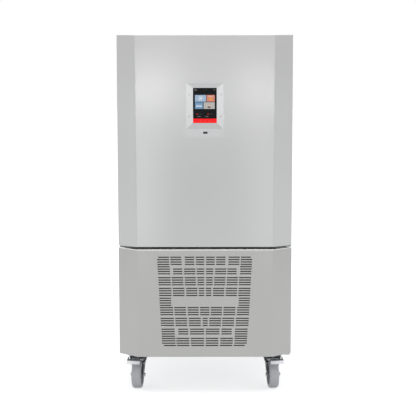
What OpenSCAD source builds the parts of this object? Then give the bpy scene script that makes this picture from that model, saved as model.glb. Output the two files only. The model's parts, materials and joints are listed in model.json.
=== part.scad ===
// Upright blast chiller: a stainless steel cabinet on four swivel casters, with one insulated
// door whose sides are folded back, and a slotted lower panel over the cooling unit.
// Millimetres. The origin is the middle of the footprint at floor level, the front faces -Y.

/* [Overall] */
// Width over the lower panel
overall_w = 800; // [796:1:806]
// Depth from the display bezel to the wall spacers
overall_d = 850; // [846:2:870]
// Height from the floor to the door's top edge
overall_h = 1646; // [1642:1:1652]

/* [Door and lower panel] */
// Width of the flat centre, from fold to fold
flat_w = 625; // [615:1:630]
// Width of the door
door_w = 796; // [792:1:798]
// How far the door's wings run back
door_wing = 52; // [48:1:54]
// Thickness of the door without its gasket
door_depth = 76; // [76:1:78]
// Height of the door's bottom edge above the floor
door_bottom = 686; // [685:1:688]
// How far the lower panel's wings run back
panel_wing = 74; // [72:1:76]
// Height of the lower panel's bottom edge above the floor
panel_bottom = 172; // [172:1:174]
// Height of the lower panel's top edge above the floor
panel_top = 677; // [675:1:677]
// Width of the finger pull's recess in the door's left edge
pull_depth = 26.5; // [24:0.5:26.5]

/* [Cabinet] */
// Width over the side panels
cabinet_w = 790; // [788:1:791]
// Height of the cabinet's underside above the floor
cabinet_bottom = 160; // [160:1:161]
// Height of the cabinet's top above the floor
cabinet_top = 1640; // [1638:1:1640]
// Thickness of the steel sheet
sheet = 1.5; // [1:0.1:1.5]
// Inner width of the chilling chamber
chamber_w = 666; // [660:1:668]
// Height of the chamber's floor above the ground
chamber_floor = 745; // [742:1:748]
// Height of the chamber's ceiling above the ground
chamber_ceiling = 1575; // [1570:1:1578]

/* [Display] */
// Width of the display's bezel
bezel_w = 176; // [172:1:180]
// Height of the bezel's lower edge above the floor
bezel_bottom = 1190; // [1188:1:1192]
// Height of the bezel's upper edge above the floor
bezel_top = 1437; // [1435:1:1440]
// Width of the visible screen
screen_w = 107; // [104:1:110]

/* [Trays] */
// Number of tray levels
tray_levels = 10; // [8:1:10]
// Height from one tray level to the next
tray_pitch = 76; // [70:1:76]

/* [Casters] */
// Diameter of the wheels
wheel_d = 125; // [124:0.5:125]
// Width of the wheels' tread
tread_w = 44; // [40:1:45]
// Distance between the left and the right swivel axes
track = 626; // [620:1:640]
// How far a wheel's axle lies from its swivel axis
trail = 38; // [36:1:40]

/* [Hidden] */
$fn = 48;

// Planes from front to back
bezel_proud = 3;
front_y = -overall_d / 2 + bezel_proud;
door_back = front_y + door_depth;
gasket_h = 12;
running_gap = 0.3;
cabinet_front = door_back + gasket_h + running_gap;
panel_back = front_y + panel_wing + 6;
spacer_h = 12;
cabinet_back = overall_d / 2 - spacer_h;

// Cabinet
side_x = cabinet_w / 2;
inner_x = side_x - sheet;
chamber_x = chamber_w / 2;
liner_x = chamber_x + sheet;
chamber_back = cabinet_back - 63;
machine_top = panel_top - 13;
grille_top = 640;
floor_t = 3;
upstand = 30;
top_flange = 52;

// Fold radius of the wings and the number of steps in each rounded corner
fold_r = 5;
corner_steps = 4;

// Door
cap_drop = 12;
door_cap = overall_h - cap_drop;
pull_front = front_y + door_wing + 4;
pull_x = -door_w / 2 + pull_depth;
door_pivot = [388, front_y + 64];
panel_pivot = [394, front_y + 79];
hinge_pin_r = 5;
panel_pin_r = 3;
bush_r = 8;
bush_len = 16;
running_fit = 0.06;
emboss = 7;
emboss_x = 330;
emboss_z = [750, 1570];
gasket_out = 364;
gasket_w = 16;
gasket_z = [712, 1608];
hinge_plate = 4;
mid_hinge_z = door_bottom - 8;

// Display
screen_z = [1253, 1411];
rim_w = 4;
window_x = bezel_w / 2 - 6;
window_z = [bezel_bottom + 7, bezel_top - 6];
screen_y = front_y + 6;
bezel_back = front_y + 10;
slope_w = 26;
bezel_screw_x = 71;
bezel_screw_z = [1283, 1381];
usb_at = [2, 1210];
usb_size = [20, 9.6];

// Chamber fittings
rack_y = [-305, 113];
runner_w = 22;
runner_t = 3;
first_tray = 785;
post = 12;
evap_y = 140;
evap_x = 325;
evap_z = [760, 1560];
evap_fan_z = [960, 1360];
fan_mouth_r = 130;
drain_at = [-30, 320];
drain_r = 11;

// Cooling unit
condenser_x = 215;
condenser_y = [-325, -262];
condenser_z = [205, 625];
shroud_y = -238;
condenser_fan_z = 415;
shroud_mouth_r = 150;
shaft_r = 6;
compressor_at = [130, 130];
compressor_r = 105;
foot_z = 194;
receiver_at = [-200, 200];
receiver_r = 60;
drier_at = [-70, 240];
inlet_at = [-300, 230];

// Slotted grille: half width at its top and bottom row, and the rows' height and spacing.
// Each group holds the height of its first row, its number of rows, and the slots from left
// to right as pairs of fractions of the half width.
grille_half = [215.5, 194.5];
grille_z = [640, 227];
slot_h = 5.5;
slot_pitch = 11.1;
outer_pair = [[-1.02, -0.76], [0.75, 1]];
grille_groups = [
    [640, 1, [[-0.992, -0.764], [-0.74, -0.505], [-0.432, -0.23], [-0.2, -0.017],
              [0.02, 0.205], [0.236, 0.436], [0.5, 0.736], [0.764, 0.973]]],
    [628.9, 3, [[-1.02, -0.764], [-0.738, -0.5], [-0.43, -0.23], [-0.195, -0.017],
                [0.02, 0.205], [0.236, 0.432], [0.495, 0.733], [0.76, 1]]],
    [596, 1, outer_pair],
    [585, 3, [[-1.02, -0.756], [-0.69, -0.49], [-0.454, -0.21], [-0.181, -0.017],
              [0.02, 0.178], [0.216, 0.457], [0.48, 0.68], [0.756, 1]]],
    [545, 4, [[-1.02, -0.75], [-0.727, -0.474], [-0.445, -0.198], [-0.169, -0.017],
              [0.02, 0.166], [0.195, 0.442], [0.47, 0.712], [0.738, 1]]],
    [495, 4, [[-1.02, -0.744], [-0.715, -0.456], [-0.42, -0.17], [-0.141, -0.018],
              [0.015, 0.138], [0.174, 0.424], [0.453, 0.706], [0.735, 1]]],
    [449, 4, outer_pair],
    [405, 4, [[-1.02, -0.725], [-0.698, -0.432], [-0.396, -0.145], [-0.115, 0.097],
              [0.127, 0.384], [0.414, 0.686], [0.722, 1]]],
    [354.5, 4, [[-1.02, -0.715], [-0.684, -0.414], [-0.377, -0.1], [-0.06, 0.06],
                [0.092, 0.365], [0.39, 0.666], [0.702, 1]]],
    [303.5, 3, [[-1.015, -0.71], [-0.626, -0.393], [-0.352, -0.025], [0.012, 0.333],
                [0.38, 0.62], [0.692, 0.987]]],
    [270.5, 1, [[-1.015, -0.71], [0.692, 0.987]]],
    [260, 3, [[-1.02, -0.7], [-0.68, -0.372], [-0.34, -0.025], [0.012, 0.312],
              [0.355, 0.653], [0.69, 0.985]]],
    [226.7, 1, [[-0.978, -0.694], [-0.67, -0.372], [-0.33, -0.025], [0.008, 0.312],
                [0.345, 0.645], [0.68, 0.939]]]];

// Casters: swivel axis and the angle that each wheel is turned at rest
wheel_r = wheel_d / 2;
swivel_y = [front_y + 138, 330];
casters = [[-track / 2, swivel_y[0], -6.4], [track / 2, swivel_y[0], 6.4],
           [-track / 2, swivel_y[1], -4], [track / 2, swivel_y[1], 5]];
FRONT_LEFT = 0;
FRONT_RIGHT = 1;
REAR_LEFT = 2;
REAR_RIGHT = 3;
plate_size = [104, 84, 4];
bolt_spacing = [80, 60];
bolt_r = 4;
race_z = 150;
crown_z = 140;
crown_r = 40;
kingpin_r = 6;
axle_r = 5;
leg_x = 24;
leg_t = 3.5;
leg_flare = 12.5;
pedal_pin = [-24, 133];
pedal_pin_r = 3;

steel_colour = "#c4c6c7";
dark_steel = "#8d9194";
zinc = "#b3b7bb";
black = "#26282a";
copper = "#b5714a";
foam_colour = "#e3d9b0";

// ---- Shared shapes ----

function unit(v) = v / norm(v);

// The corner b of a polygon between a and c, rounded to the radius b[2]
function corner_arc(a, b, c) =
    b[2] == 0 ? [[b[0], b[1]]] :
    let (at = [b[0], b[1]],
         to_a = unit([a[0], a[1]] - at),
         to_c = unit([c[0], c[1]] - at),
         half = acos(to_a * to_c) / 2,
         centre = at + unit(to_a + to_c) * b[2] / sin(half),
         start = at + to_a * b[2] / tan(half) - centre,
         end = at + to_c * b[2] / tan(half) - centre)
    [for (i = [0 : corner_steps])
        centre + b[2] * unit(start * (1 - i / corner_steps) + end * i / corner_steps)];

function rounded(corners) =
    let (n = len(corners))
    [for (i = [0 : n - 1])
        each corner_arc(corners[(i + n - 1) % n], corners[i], corners[(i + 1) % n])];

function backwards(list) = [for (i = [len(list) - 1 : -1 : 0]) list[i]];

// Plan of a front whose sides fold back, drawn from its left back end to its right back end.
// It is set inwards by the given distance, so two of them make a folded sheet.
function folded_front(w, wing, back_left, back_right, inset) =
    let (a = atan2(wing, (w - flat_w) / 2),
         x_out = w / 2 - inset,
         x_fold = flat_w / 2 - inset * tan(a / 2),
         y_out = front_y + wing + inset * tan(45 - a / 2),
         y_fold = front_y + inset,
         r = fold_r - inset)
    rounded([[-x_out, back_left, 0], [-x_out, y_out, r], [-x_fold, y_fold, r],
             [x_fold, y_fold, r], [x_out, y_out, r], [x_out, back_right, 0]]);

module block(from, to) {
    translate(from) cube(to - from);
}

// A cylinder that runs along Y from y0 to y1
module disc_y(at, y0, y1, r) {
    translate([at[0], y1, at[1]]) rotate([90, 0, 0]) cylinder(r = r, h = y1 - y0);
}

// A cylinder that runs along X from x0 to x1
module disc_x(at, x0, x1, r) {
    translate([x0, at[0], at[1]]) rotate([0, 90, 0]) cylinder(r = r, h = x1 - x0);
}

// A cylinder that stands on z0
module post_z(at, z0, z1, r) {
    translate([at[0], at[1], z0]) cylinder(r = r, h = z1 - z0);
}

// A screw along Y with its head in front
module screw_y(at, head_y, head_r, head_h, shank_r, shank_len) {
    disc_y(at, head_y, head_y + head_h, head_r);
    disc_y(at, head_y + head_h, head_y + head_h + shank_len, shank_r);
}

// ---- Cabinet ----

module side_panel(side) {
    color(steel_colour)
        block([side * side_x - (side > 0 ? sheet : 0), cabinet_front, cabinet_bottom],
              [side * side_x + (side > 0 ? 0 : sheet), cabinet_back, cabinet_top]);
}

// The cabinet's lower front corner is cut back beside the lower panel
module corner_cut() {
    rotate([90, 0, 90]) translate([0, 0, -400]) linear_extrude(36)
        polygon([[cabinet_front - 5, cabinet_bottom - 1], [cabinet_front - 5, cabinet_bottom + 7],
                 [cabinet_front, cabinet_bottom + 7], [cabinet_front + 34, cabinet_bottom - 1]]);
}

module side_panel_left() {
    difference() {
        side_panel(-1);
        corner_cut();
    }
}

module side_panel_right() { side_panel(1); }

module top_panel() {
    color(steel_colour)
        block([-inner_x, cabinet_front + top_flange, cabinet_top - sheet],
              [inner_x, cabinet_back, cabinet_top]);
}

module back_panel() {
    color(steel_colour)
        block([-inner_x, cabinet_back - sheet, grille_top],
              [inner_x, cabinet_back, cabinet_top - sheet]);
}

module rear_grille() {
    slot = [300, 7];
    rows = 16;
    color(steel_colour) difference() {
        block([-inner_x, cabinet_back - sheet, cabinet_bottom], [inner_x, cabinet_back, grille_top]);
        for (side = [-1, 1], i = [0 : rows - 1])
            translate([side * 190 - slot[0] / 2, cabinet_back - 5, 290 + i * 20])
                cube([slot[0], 10, slot[1]]);
        disc_y(inlet_at, cabinet_back - 5, cabinet_back + 5, 12.5);
    }
}

// The face that the gasket closes on, its flange on top, the posts beside the lower opening,
// and the sheet under the insulation
module front_frame() {
    face = cabinet_front + sheet;
    color(steel_colour) {
        difference() {
            block([-inner_x, cabinet_front, machine_top], [inner_x, face, cabinet_top - sheet]);
            block([-liner_x, cabinet_front - 1, chamber_floor - sheet],
                  [liner_x, face + 1, chamber_ceiling + sheet]);
        }
        block([-inner_x, cabinet_front, cabinet_top - sheet],
              [inner_x, cabinet_front + top_flange, cabinet_top]);
        for (side = [-1, 1])
            translate([side > 0 ? 350 : -inner_x, cabinet_front, cabinet_bottom + floor_t + upstand])
                cube([inner_x - 350, sheet, machine_top - cabinet_bottom - floor_t - upstand]);
        difference() {
            block([-inner_x, cabinet_front, machine_top],
                  [inner_x, cabinet_back - sheet, machine_top + sheet]);
            post_z(drain_at, machine_top - 5, machine_top + 5, drain_r + 0.5);
        }
    }
}

module base_chassis() {
    z0 = cabinet_bottom;
    color(dark_steel) difference() {
        union() {
            block([-inner_x, cabinet_front, z0], [inner_x, cabinet_back - sheet, z0 + floor_t]);
            block([-inner_x, cabinet_front, z0], [inner_x, cabinet_front + 2, z0 + floor_t + upstand]);
            for (side = [-1, 1])
                translate([side > 0 ? inner_x - 2 : -inner_x, cabinet_front, z0])
                    cube([2, cabinet_back - sheet - cabinet_front, floor_t + upstand]);
        }
        for (c = casters, hole = bolt_holes())
            post_z([c[0] + hole[0], c[1] + hole[1]], z0 - 1, z0 + floor_t + 1, bolt_r + 0.25);
        post_z(drain_at, z0 - 1, z0 + floor_t + 1, drain_r + 1);
        corner_cut();
    }
}

module insulation() {
    color(foam_colour) difference() {
        block([-inner_x, cabinet_front + sheet, machine_top + sheet],
              [inner_x, cabinet_back - sheet, cabinet_top - sheet]);
        block([-liner_x, cabinet_front, chamber_floor - sheet],
              [liner_x, chamber_back + sheet, chamber_ceiling + sheet]);
        post_z(drain_at, machine_top, chamber_floor, drain_r + 0.5);
    }
}

module inner_liner() {
    color(steel_colour) difference() {
        block([-liner_x, cabinet_front, chamber_floor - sheet],
              [liner_x, chamber_back + sheet, chamber_ceiling + sheet]);
        block([-chamber_x, cabinet_front - 1, chamber_floor],
              [chamber_x, chamber_back, chamber_ceiling]);
        post_z(drain_at, chamber_floor - 5, chamber_floor + 1, drain_r);
    }
}

module drain_tube() {
    color(black) difference() {
        post_z(drain_at, cabinet_bottom - 6, chamber_floor - sheet, drain_r);
        post_z(drain_at, cabinet_bottom - 7, chamber_floor, drain_r - 2);
    }
}

module wall_spacers() {
    color(black)
        for (side = [-1, 1], z = [220, 1540])
            disc_y([side * 340, z], cabinet_back, cabinet_back + spacer_h, 20);
}

// ---- Chamber ----

module rack_posts() {
    color(steel_colour)
        for (side = [-1, 1], y = [rack_y[0] + 15, rack_y[1] - 27])
            translate([side * (chamber_x - post / 2) - post / 2, y, chamber_floor + 10])
                cube([post, post, chamber_ceiling - chamber_floor - 30]);
}

module tray_runners() {
    gap = 0.2;
    color(steel_colour)
        for (side = [-1, 1], i = [0 : tray_levels - 1])
            translate([side * (chamber_x - post - gap - runner_w / 2) - runner_w / 2, rack_y[0],
                       first_tray + i * tray_pitch])
                cube([runner_w, rack_y[1] - rack_y[0], runner_t]);
}

module evaporator_panel() {
    deep = 40;
    color(steel_colour) difference() {
        block([-evap_x, evap_y, evap_z[0]], [evap_x, evap_y + deep, evap_z[1]]);
        block([-evap_x + sheet, evap_y + sheet, evap_z[0] + sheet],
              [evap_x - sheet, evap_y + deep + 1, evap_z[1] - sheet]);
        for (z = evap_fan_z)
            disc_y([0, z], evap_y - 1, evap_y + 5, fan_mouth_r);
    }
}

// Flat rings on two crossed bars over each fan's mouth
module fan_guards() {
    wire = 4;
    rim = 10;
    color(steel_colour)
        for (z = evap_fan_z)
            translate([0, evap_y, z]) rotate([90, 0, 0]) {
                difference() {
                    cylinder(r = fan_mouth_r + rim, h = rim);
                    translate([0, 0, -1]) cylinder(r = fan_mouth_r - 2, h = rim + 2);
                }
                translate([0, 0, rim - wire]) {
                    cylinder(r = 26, h = wire);
                    for (r = [44 : 18 : 116])
                        difference() {
                            cylinder(r = r, h = wire);
                            translate([0, 0, -1]) cylinder(r = r - wire, h = wire + 2);
                        }
                    for (turn = [45, 135])
                        rotate(turn) translate([-fan_mouth_r, -3, 0])
                            cube([2 * fan_mouth_r, 6, wire]);
                }
            }
}

// A finned block with its end plates and the return bends of its tube. The fins stand
// across X; the size is given from corner to corner.
module finned_coil(from, to, fins, bends) {
    recess = 3;
    plate = 2;
    tube_r = 5;
    bend_r = 14;
    size = to - from;
    pitch = size[0] / fins;
    block(from + [plate, recess, recess], to - [plate, recess, recess]);
    for (i = [1 : fins - 1])
        translate([from[0] + i * pitch - 0.75, from[1], from[2] + 1])
            cube([1.5, size[1], size[2] - 2]);
    for (x = [from[0], to[0] - plate])
        translate([x, from[1] - 4, from[2]]) cube([plate, size[1] + 8, size[2]]);
    for (side = [0, 1], i = [0 : bends - 1])
        translate([side ? to[0] : from[0], from[1] + size[1] / 2,
                   from[2] + size[2] * (i + 0.5) / bends])
            rotate([90, 0, side ? 0 : 180]) rotate([0, 0, -90])
                rotate_extrude(angle = 180) translate([bend_r, 0]) circle(tube_r);
}

module evaporator_coil() {
    color(dark_steel)
        finned_coil([-295, 258, 800], [295, 335, 1530], 42, 12);
}

// A fan with its hub on the Y axis, centred on y, whose shaft hole opens to the back
module fan(at, y, hub_r, tip_r, blades) {
    hub_len = 36;
    chord = 68;
    blade_t = 3;
    blade_tilt = 34;
    translate([at[0], y, at[1]]) rotate([90, 0, 0]) difference() {
        union() {
            translate([0, 0, -hub_len / 2]) cylinder(r = hub_r, h = hub_len);
            for (i = [0 : blades - 1])
                rotate(i * 360 / blades) rotate([blade_tilt, 0, 0])
                    translate([hub_r - 6, -chord / 2, -blade_t / 2])
                        cube([tip_r - hub_r + 6, chord, blade_t]);
        }
        translate([0, 0, -hub_len]) cylinder(r = shaft_r + running_fit, h = hub_len + 2);
    }
}

evap_rotor_y = evap_y + 32;
condenser_rotor_y = shroud_y + 26;

module evaporator_fan_upper() { color(black) fan([0, evap_fan_z[1]], evap_rotor_y, 34, 112, 5); }

module evaporator_fan_lower() { color(black) fan([0, evap_fan_z[0]], evap_rotor_y, 34, 112, 5); }

module condenser_fan() { color(black) fan([0, condenser_fan_z], condenser_rotor_y, 40, 132, 5); }

// A motor behind its rotor, on a strap that stands on the sheet in front of it
module fan_motor(at, sheet_y, rotor_y, r, strap_x) {
    motor_front = rotor_y + 21;
    motor_len = 52;
    strap = [20, 4];
    motor_back = motor_front + motor_len;
    disc_y(at, motor_front, motor_back, r);
    disc_y(at, rotor_y - 1, motor_front, shaft_r);
    translate([at[0] - strap_x, motor_back, at[1] - strap[0] / 2])
        cube([2 * strap_x, strap[1], strap[0]]);
    for (side = [-1, 1])
        translate([at[0] + side * (strap_x - strap[1] / 2) - strap[1] / 2, sheet_y,
                   at[1] - strap[0] / 2])
            cube([strap[1], motor_back - sheet_y + strap[1], strap[0]]);
}

module fan_motors() {
    color(black) {
        for (z = evap_fan_z)
            fan_motor([0, z], evap_y + sheet, evap_rotor_y, 42, 150);
        fan_motor([0, condenser_fan_z], shroud_y + sheet, condenser_rotor_y, 48, 185);
    }
}

// ---- Cooling unit ----

module condenser_coil() {
    color(dark_steel)
        finned_coil([-condenser_x, condenser_y[0], condenser_z[0]],
                    [condenser_x, condenser_y[1], condenser_z[1]], 40, 8);
    color(dark_steel)
        for (side = [-1, 1])
            translate([side * (condenser_x - 15) - 15, condenser_y[0] + 10,
                       cabinet_bottom + floor_t])
                cube([30, 40, condenser_z[0] - cabinet_bottom - floor_t + 4]);
}

module fan_shroud() {
    front = condenser_y[1] + 4.5;
    color(black) difference() {
        block([-condenser_x, front, condenser_z[0]], [condenser_x, shroud_y + sheet, condenser_z[1]]);
        block([-condenser_x + sheet, front - 1, condenser_z[0] + sheet],
              [condenser_x - sheet, shroud_y, condenser_z[1] - sheet]);
        disc_y([0, condenser_fan_z], shroud_y - 1, shroud_y + 5, shroud_mouth_r);
    }
}

// Outline of an upright steel shell with domed ends, for turning
function domed_shell(r, h, dome) =
    [[0, 0], [r * 0.6, 0], [r * 0.9, dome * 0.35], [r, dome], [r, h - dome],
     [r * 0.9, h - dome * 0.35], [r * 0.6, h], [0, h]];

module compressor() {
    shell_z = foot_z + 8;
    shell_h = 250;
    box = [62, 40, 74];
    color(black) {
        translate([compressor_at[0], compressor_at[1], shell_z])
            rotate_extrude() polygon(domed_shell(compressor_r, shell_h, 45));
        post_z(compressor_at, foot_z, shell_z + 20, 60);
        translate([compressor_at[0] - 120, compressor_at[1] - 90, foot_z]) cube([240, 180, 4]);
        translate([compressor_at[0] - box[0] / 2, compressor_at[1] - compressor_r - 34,
                   shell_z + 80])
            cube(box);
    }
}

module compressor_feet() {
    color(black)
        for (dx = [-105, 105], dy = [-75, 75])
            post_z(compressor_at + [dx, dy], cabinet_bottom + floor_t, foot_z, 15);
}

module receiver() {
    base = cabinet_bottom + floor_t;
    color(black) {
        translate([receiver_at[0], receiver_at[1], base + 14])
            rotate_extrude() polygon(domed_shell(receiver_r, 310, 30));
        translate([receiver_at[0] - 70, receiver_at[1] - 40, base]) cube([140, 80, 3]);
        post_z(receiver_at, base + 3, base + 20, 32);
    }
}

module filter_drier() {
    r = 28;
    neck_r = 8;
    color(copper)
        translate([drier_at[0], drier_at[1], 330])
            rotate_extrude()
                polygon([[0, 0], [neck_r, 0], [neck_r, 20], [r, 45], [r, 145], [neck_r, 170],
                         [neck_r, 190], [0, 190]]);
}

// A bent tube through the given points, with a brazed elbow at each bend
module tube_run(points, r) {
    for (i = [0 : len(points) - 2])
        let (run = points[i + 1] - points[i],
             tilt = acos(run[2] / norm(run)),
             turn = atan2(run[1], run[0]))
        translate(points[i]) rotate([0, tilt, turn]) cylinder(r = r, h = norm(run));
    for (i = [1 : len(points) - 2])
        translate(points[i]) sphere(r * 1.3);
}

suction_run = [[188, 190, 455], [188, 190, 600], [188, 320, 600], [60, 320, 600], [60, 320, 662]];
discharge_run = [[60, 88, 448], [60, 88, 530], [300, 88, 530], [300, -210, 530], [300, -294, 530],
                 [232, -294, 530]];
liquid_run = [[-232, -294, 250], [-300, -294, 250], [-300, 120, 250], [-300, 200, 250],
              [-262, 200, 250]];
drier_run = [[-200, 200, 489], [-200, 200, 560], [-70, 240, 560], [-70, 240, 522]];
feed_run = [[-70, 240, 328], [-70, 240, 290], [-70, 340, 290], [10, 340, 290], [10, 340, 662]];

module copper_lines() {
    color(copper) {
        tube_run(suction_run, 8);
        tube_run(discharge_run, 6);
        tube_run(liquid_run, 6);
        tube_run(drier_run, 5);
        tube_run(feed_run, 5);
    }
}

module power_box() {
    size = [120, 200, 230];
    lid_t = 3;
    at = [-inner_x, -150, 400];
    color(black) {
        translate(at) cube(size);
        translate(at + [size[0], -4, -4]) cube([lid_t, size[1] + 8, size[2] + 8]);
    }
}

// Cable gland for the supply lead, on the rear grille
module power_inlet() {
    color(black) difference() {
        union() {
            disc_y(inlet_at, cabinet_back - sheet - 14, cabinet_back, 12);
            translate([inlet_at[0], cabinet_back + 4, inlet_at[1]]) rotate([90, 0, 0])
                cylinder(r = 18, h = 4, $fn = 6);
            disc_y(inlet_at, cabinet_back + 4, cabinet_back + 11, 11);
        }
        disc_y(inlet_at, cabinet_back - 30, cabinet_back + 20, 6);
    }
}

// ---- Hinges ----

module hinge_brackets() {
    x0 = door_pivot[0] - 14;
    x1 = door_pivot[0] + 6;
    y0 = door_pivot[1] - 8;
    bottom_plate = panel_bottom - 5;
    color(zinc) {
        block([x0, y0, cabinet_top], [x1, cabinet_front + 50, cabinet_top + hinge_plate]);
        post_z(door_pivot, door_cap - bush_len + 4, cabinet_top + 1, hinge_pin_r);

        block([x0, y0, mid_hinge_z], [x1, cabinet_front, mid_hinge_z + hinge_plate]);
        block([x0, cabinet_front - 3, mid_hinge_z], [x1, cabinet_front, mid_hinge_z + 46]);
        post_z(door_pivot, mid_hinge_z + 1, door_bottom + bush_len - 4, hinge_pin_r);
        post_z(panel_pivot, mid_hinge_z - 9, mid_hinge_z + 1, panel_pin_r);
        post_z(panel_pivot, mid_hinge_z, mid_hinge_z + hinge_plate, 4.6);

        block([x0, panel_pivot[1] - 2, bottom_plate], [x1, cabinet_front, bottom_plate + 4]);
        post_z(panel_pivot, bottom_plate, bottom_plate + 4, 4.6);
        post_z(panel_pivot, bottom_plate + 1, panel_bottom + 7, panel_pin_r);
        block([x0, cabinet_front - 3, cabinet_bottom], [x1, cabinet_front, bottom_plate + 4]);
    }
}

module hinge_screws() {
    color(zinc) {
        for (y = [cabinet_front + 14, cabinet_front + 36])
            post_z([door_pivot[0] - 4, y], cabinet_top + hinge_plate, overall_h, 5);
        for (z = [mid_hinge_z + 16, mid_hinge_z + 34])
            disc_y([door_pivot[0] - 4, z], cabinet_front - 5, cabinet_front - 3, 5);
        for (x = [-5, 4])
            disc_y([door_pivot[0] - 4 + x, cabinet_bottom + 4], cabinet_front - 5,
                   cabinet_front - 3, 3);
    }
}

// ---- Door ----

// Plan of the door's inside, set inwards from its outer faces, with the finger pull's recess
module door_plan(inset) {
    difference() {
        polygon(folded_front(door_w, door_wing, door_back, door_back, inset));
        translate([-door_w, pull_front - inset]) square([door_w + pull_x + inset, door_depth]);
    }
}

module door_skin() {
    outer = folded_front(door_w, door_wing, pull_front, door_back, 0);
    inner = folded_front(door_w, door_wing, pull_front, door_back, sheet);
    color(steel_colour) difference() {
        union() {
            translate([0, 0, door_bottom]) linear_extrude(overall_h - door_bottom)
                polygon(concat(outer, backwards(inner)));
            for (z = [door_bottom, door_cap - sheet])
                translate([0, 0, z]) linear_extrude(sheet) door_plan(0.5);
        }
        block([pull_x, front_y + door_wing + 2, door_cap], [door_w, door_back + 1, overall_h + 1]);
        block([-window_x, front_y - 5, window_z[0]], [window_x, front_y + 5, window_z[1]]);
        for (z = [door_bottom - 1, door_cap - sheet - 1])
            post_z(door_pivot, z, z + sheet + 2, bush_r);
    }
}

module door_foam() {
    color(foam_colour) difference() {
        union() {
            translate([0, 0, door_bottom + sheet])
                linear_extrude(door_cap - door_bottom - 2 * sheet) difference() {
                    door_plan(sheet);
                    translate([-door_w, door_back - sheet]) square([2 * door_w, 10]);
                }
            block([-emboss_x + sheet, door_back - sheet - 1, emboss_z[0] + sheet],
                  [emboss_x - sheet, door_back + emboss - sheet, emboss_z[1] - sheet]);
        }
        block([-window_x, front_y, window_z[0]], [window_x, front_y + 48, window_z[1]]);
        post_z(door_pivot, door_bottom, door_bottom + bush_len, bush_r);
        post_z(door_pivot, door_cap - bush_len, door_cap, bush_r);
    }
}

module door_liner() {
    right = door_w / 2 - sheet;
    color(steel_colour) difference() {
        union() {
            block([pull_x + sheet, door_back - sheet, door_bottom + sheet],
                  [right, door_back, door_cap - sheet]);
            block([-emboss_x, door_back - 1, emboss_z[0]],
                  [emboss_x, door_back + emboss, emboss_z[1]]);
        }
        block([-emboss_x + sheet, door_back - 5, emboss_z[0] + sheet],
              [emboss_x - sheet, door_back + emboss - sheet, emboss_z[1] - sheet]);
    }
}

module door_gasket() {
    inner = gasket_out - gasket_w;
    color(dark_steel) difference() {
        block([-gasket_out, door_back, gasket_z[0]], [gasket_out, door_back + gasket_h, gasket_z[1]]);
        block([-inner, door_back - 1, gasket_z[0] + gasket_w],
              [inner, door_back + gasket_h + 1, gasket_z[1] - gasket_w]);
    }
}

module door_bushes() {
    color(black) difference() {
        union() {
            post_z(door_pivot, door_bottom, door_bottom + bush_len, bush_r);
            post_z(door_pivot, door_cap - bush_len, door_cap, bush_r);
        }
        post_z(door_pivot, door_bottom - 1, door_bottom + bush_len - 2, hinge_pin_r + running_fit);
        post_z(door_pivot, door_cap - bush_len + 2, door_cap + 1, hinge_pin_r + running_fit);
    }
}

// Lining of the recess that the fingers reach into, all the way down the door's left edge
module door_pull() {
    lip = -door_w / 2 + sheet;
    wall = 1;
    color(dark_steel)
        translate([0, 0, door_bottom + sheet]) linear_extrude(door_cap - door_bottom - 2 * sheet)
            polygon([[lip, pull_front - wall], [pull_x + sheet, pull_front - wall],
                     [pull_x + sheet, door_back], [pull_x, door_back], [pull_x, pull_front],
                     [lip, pull_front]]);
}

// ---- Display ----

module display_bezel() {
    rim_x = bezel_w / 2;
    color(steel_colour) difference() {
        union() {
            block([-rim_x, front_y - bezel_proud, bezel_bottom], [rim_x, front_y, bezel_top]);
            block([-window_x + 1, front_y - 1, window_z[0] + 1],
                  [window_x - 1, bezel_back, window_z[1] - 1]);
        }
        // the face slopes in from the rim to the screen
        hull() {
            block([-rim_x + rim_w, front_y - bezel_proud - 1, screen_z[0] - slope_w],
                  [rim_x - rim_w, front_y - bezel_proud, bezel_top - rim_w]);
            block([-screen_w / 2, screen_y - 0.1, screen_z[0]],
                  [screen_w / 2, screen_y, screen_z[1]]);
        }
        block([-screen_w / 2, front_y - 1, screen_z[0]], [screen_w / 2, bezel_back + 1, screen_z[1]]);
        block([-screen_w / 2 - 3, screen_y + 0.8, screen_z[0] - 3],
              [screen_w / 2 + 3, bezel_back + 1, screen_z[1] + 3]);
        for (side = [-1, 1], z = bezel_screw_z) {
            disc_y([side * bezel_screw_x, z], front_y - 5, front_y + 2.5, 3.8);
            disc_y([side * bezel_screw_x, z], front_y, bezel_back + 1, 2);
        }
        block([usb_at[0] - usb_size[0] / 2, front_y - 5, usb_at[1] - usb_size[1] / 2],
              [usb_at[0] + usb_size[0] / 2, bezel_back + 1, usb_at[1] + usb_size[1] / 2]);
    }
}

module touch_glass() {
    color("#101214")
        block([-screen_w / 2 - 2.8, screen_y + 1, screen_z[0] - 2.8],
              [screen_w / 2 + 2.8, bezel_back - 0.2, screen_z[1] + 2.8]);
}

module controller_housing() {
    color(black) difference() {
        block([-window_x + 3, bezel_back, window_z[0] + 3], [window_x - 3, front_y + 46, window_z[1] - 3]);
        for (side = [-1, 1], z = bezel_screw_z)
            disc_y([side * bezel_screw_x, z], bezel_back - 1, bezel_back + 8, 2);
    }
}

module bezel_screws() {
    color(zinc)
        for (side = [-1, 1], z = bezel_screw_z)
            screw_y([side * bezel_screw_x, z], front_y + 0.5, 3.6, 2, 1.8, 12);
}

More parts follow.
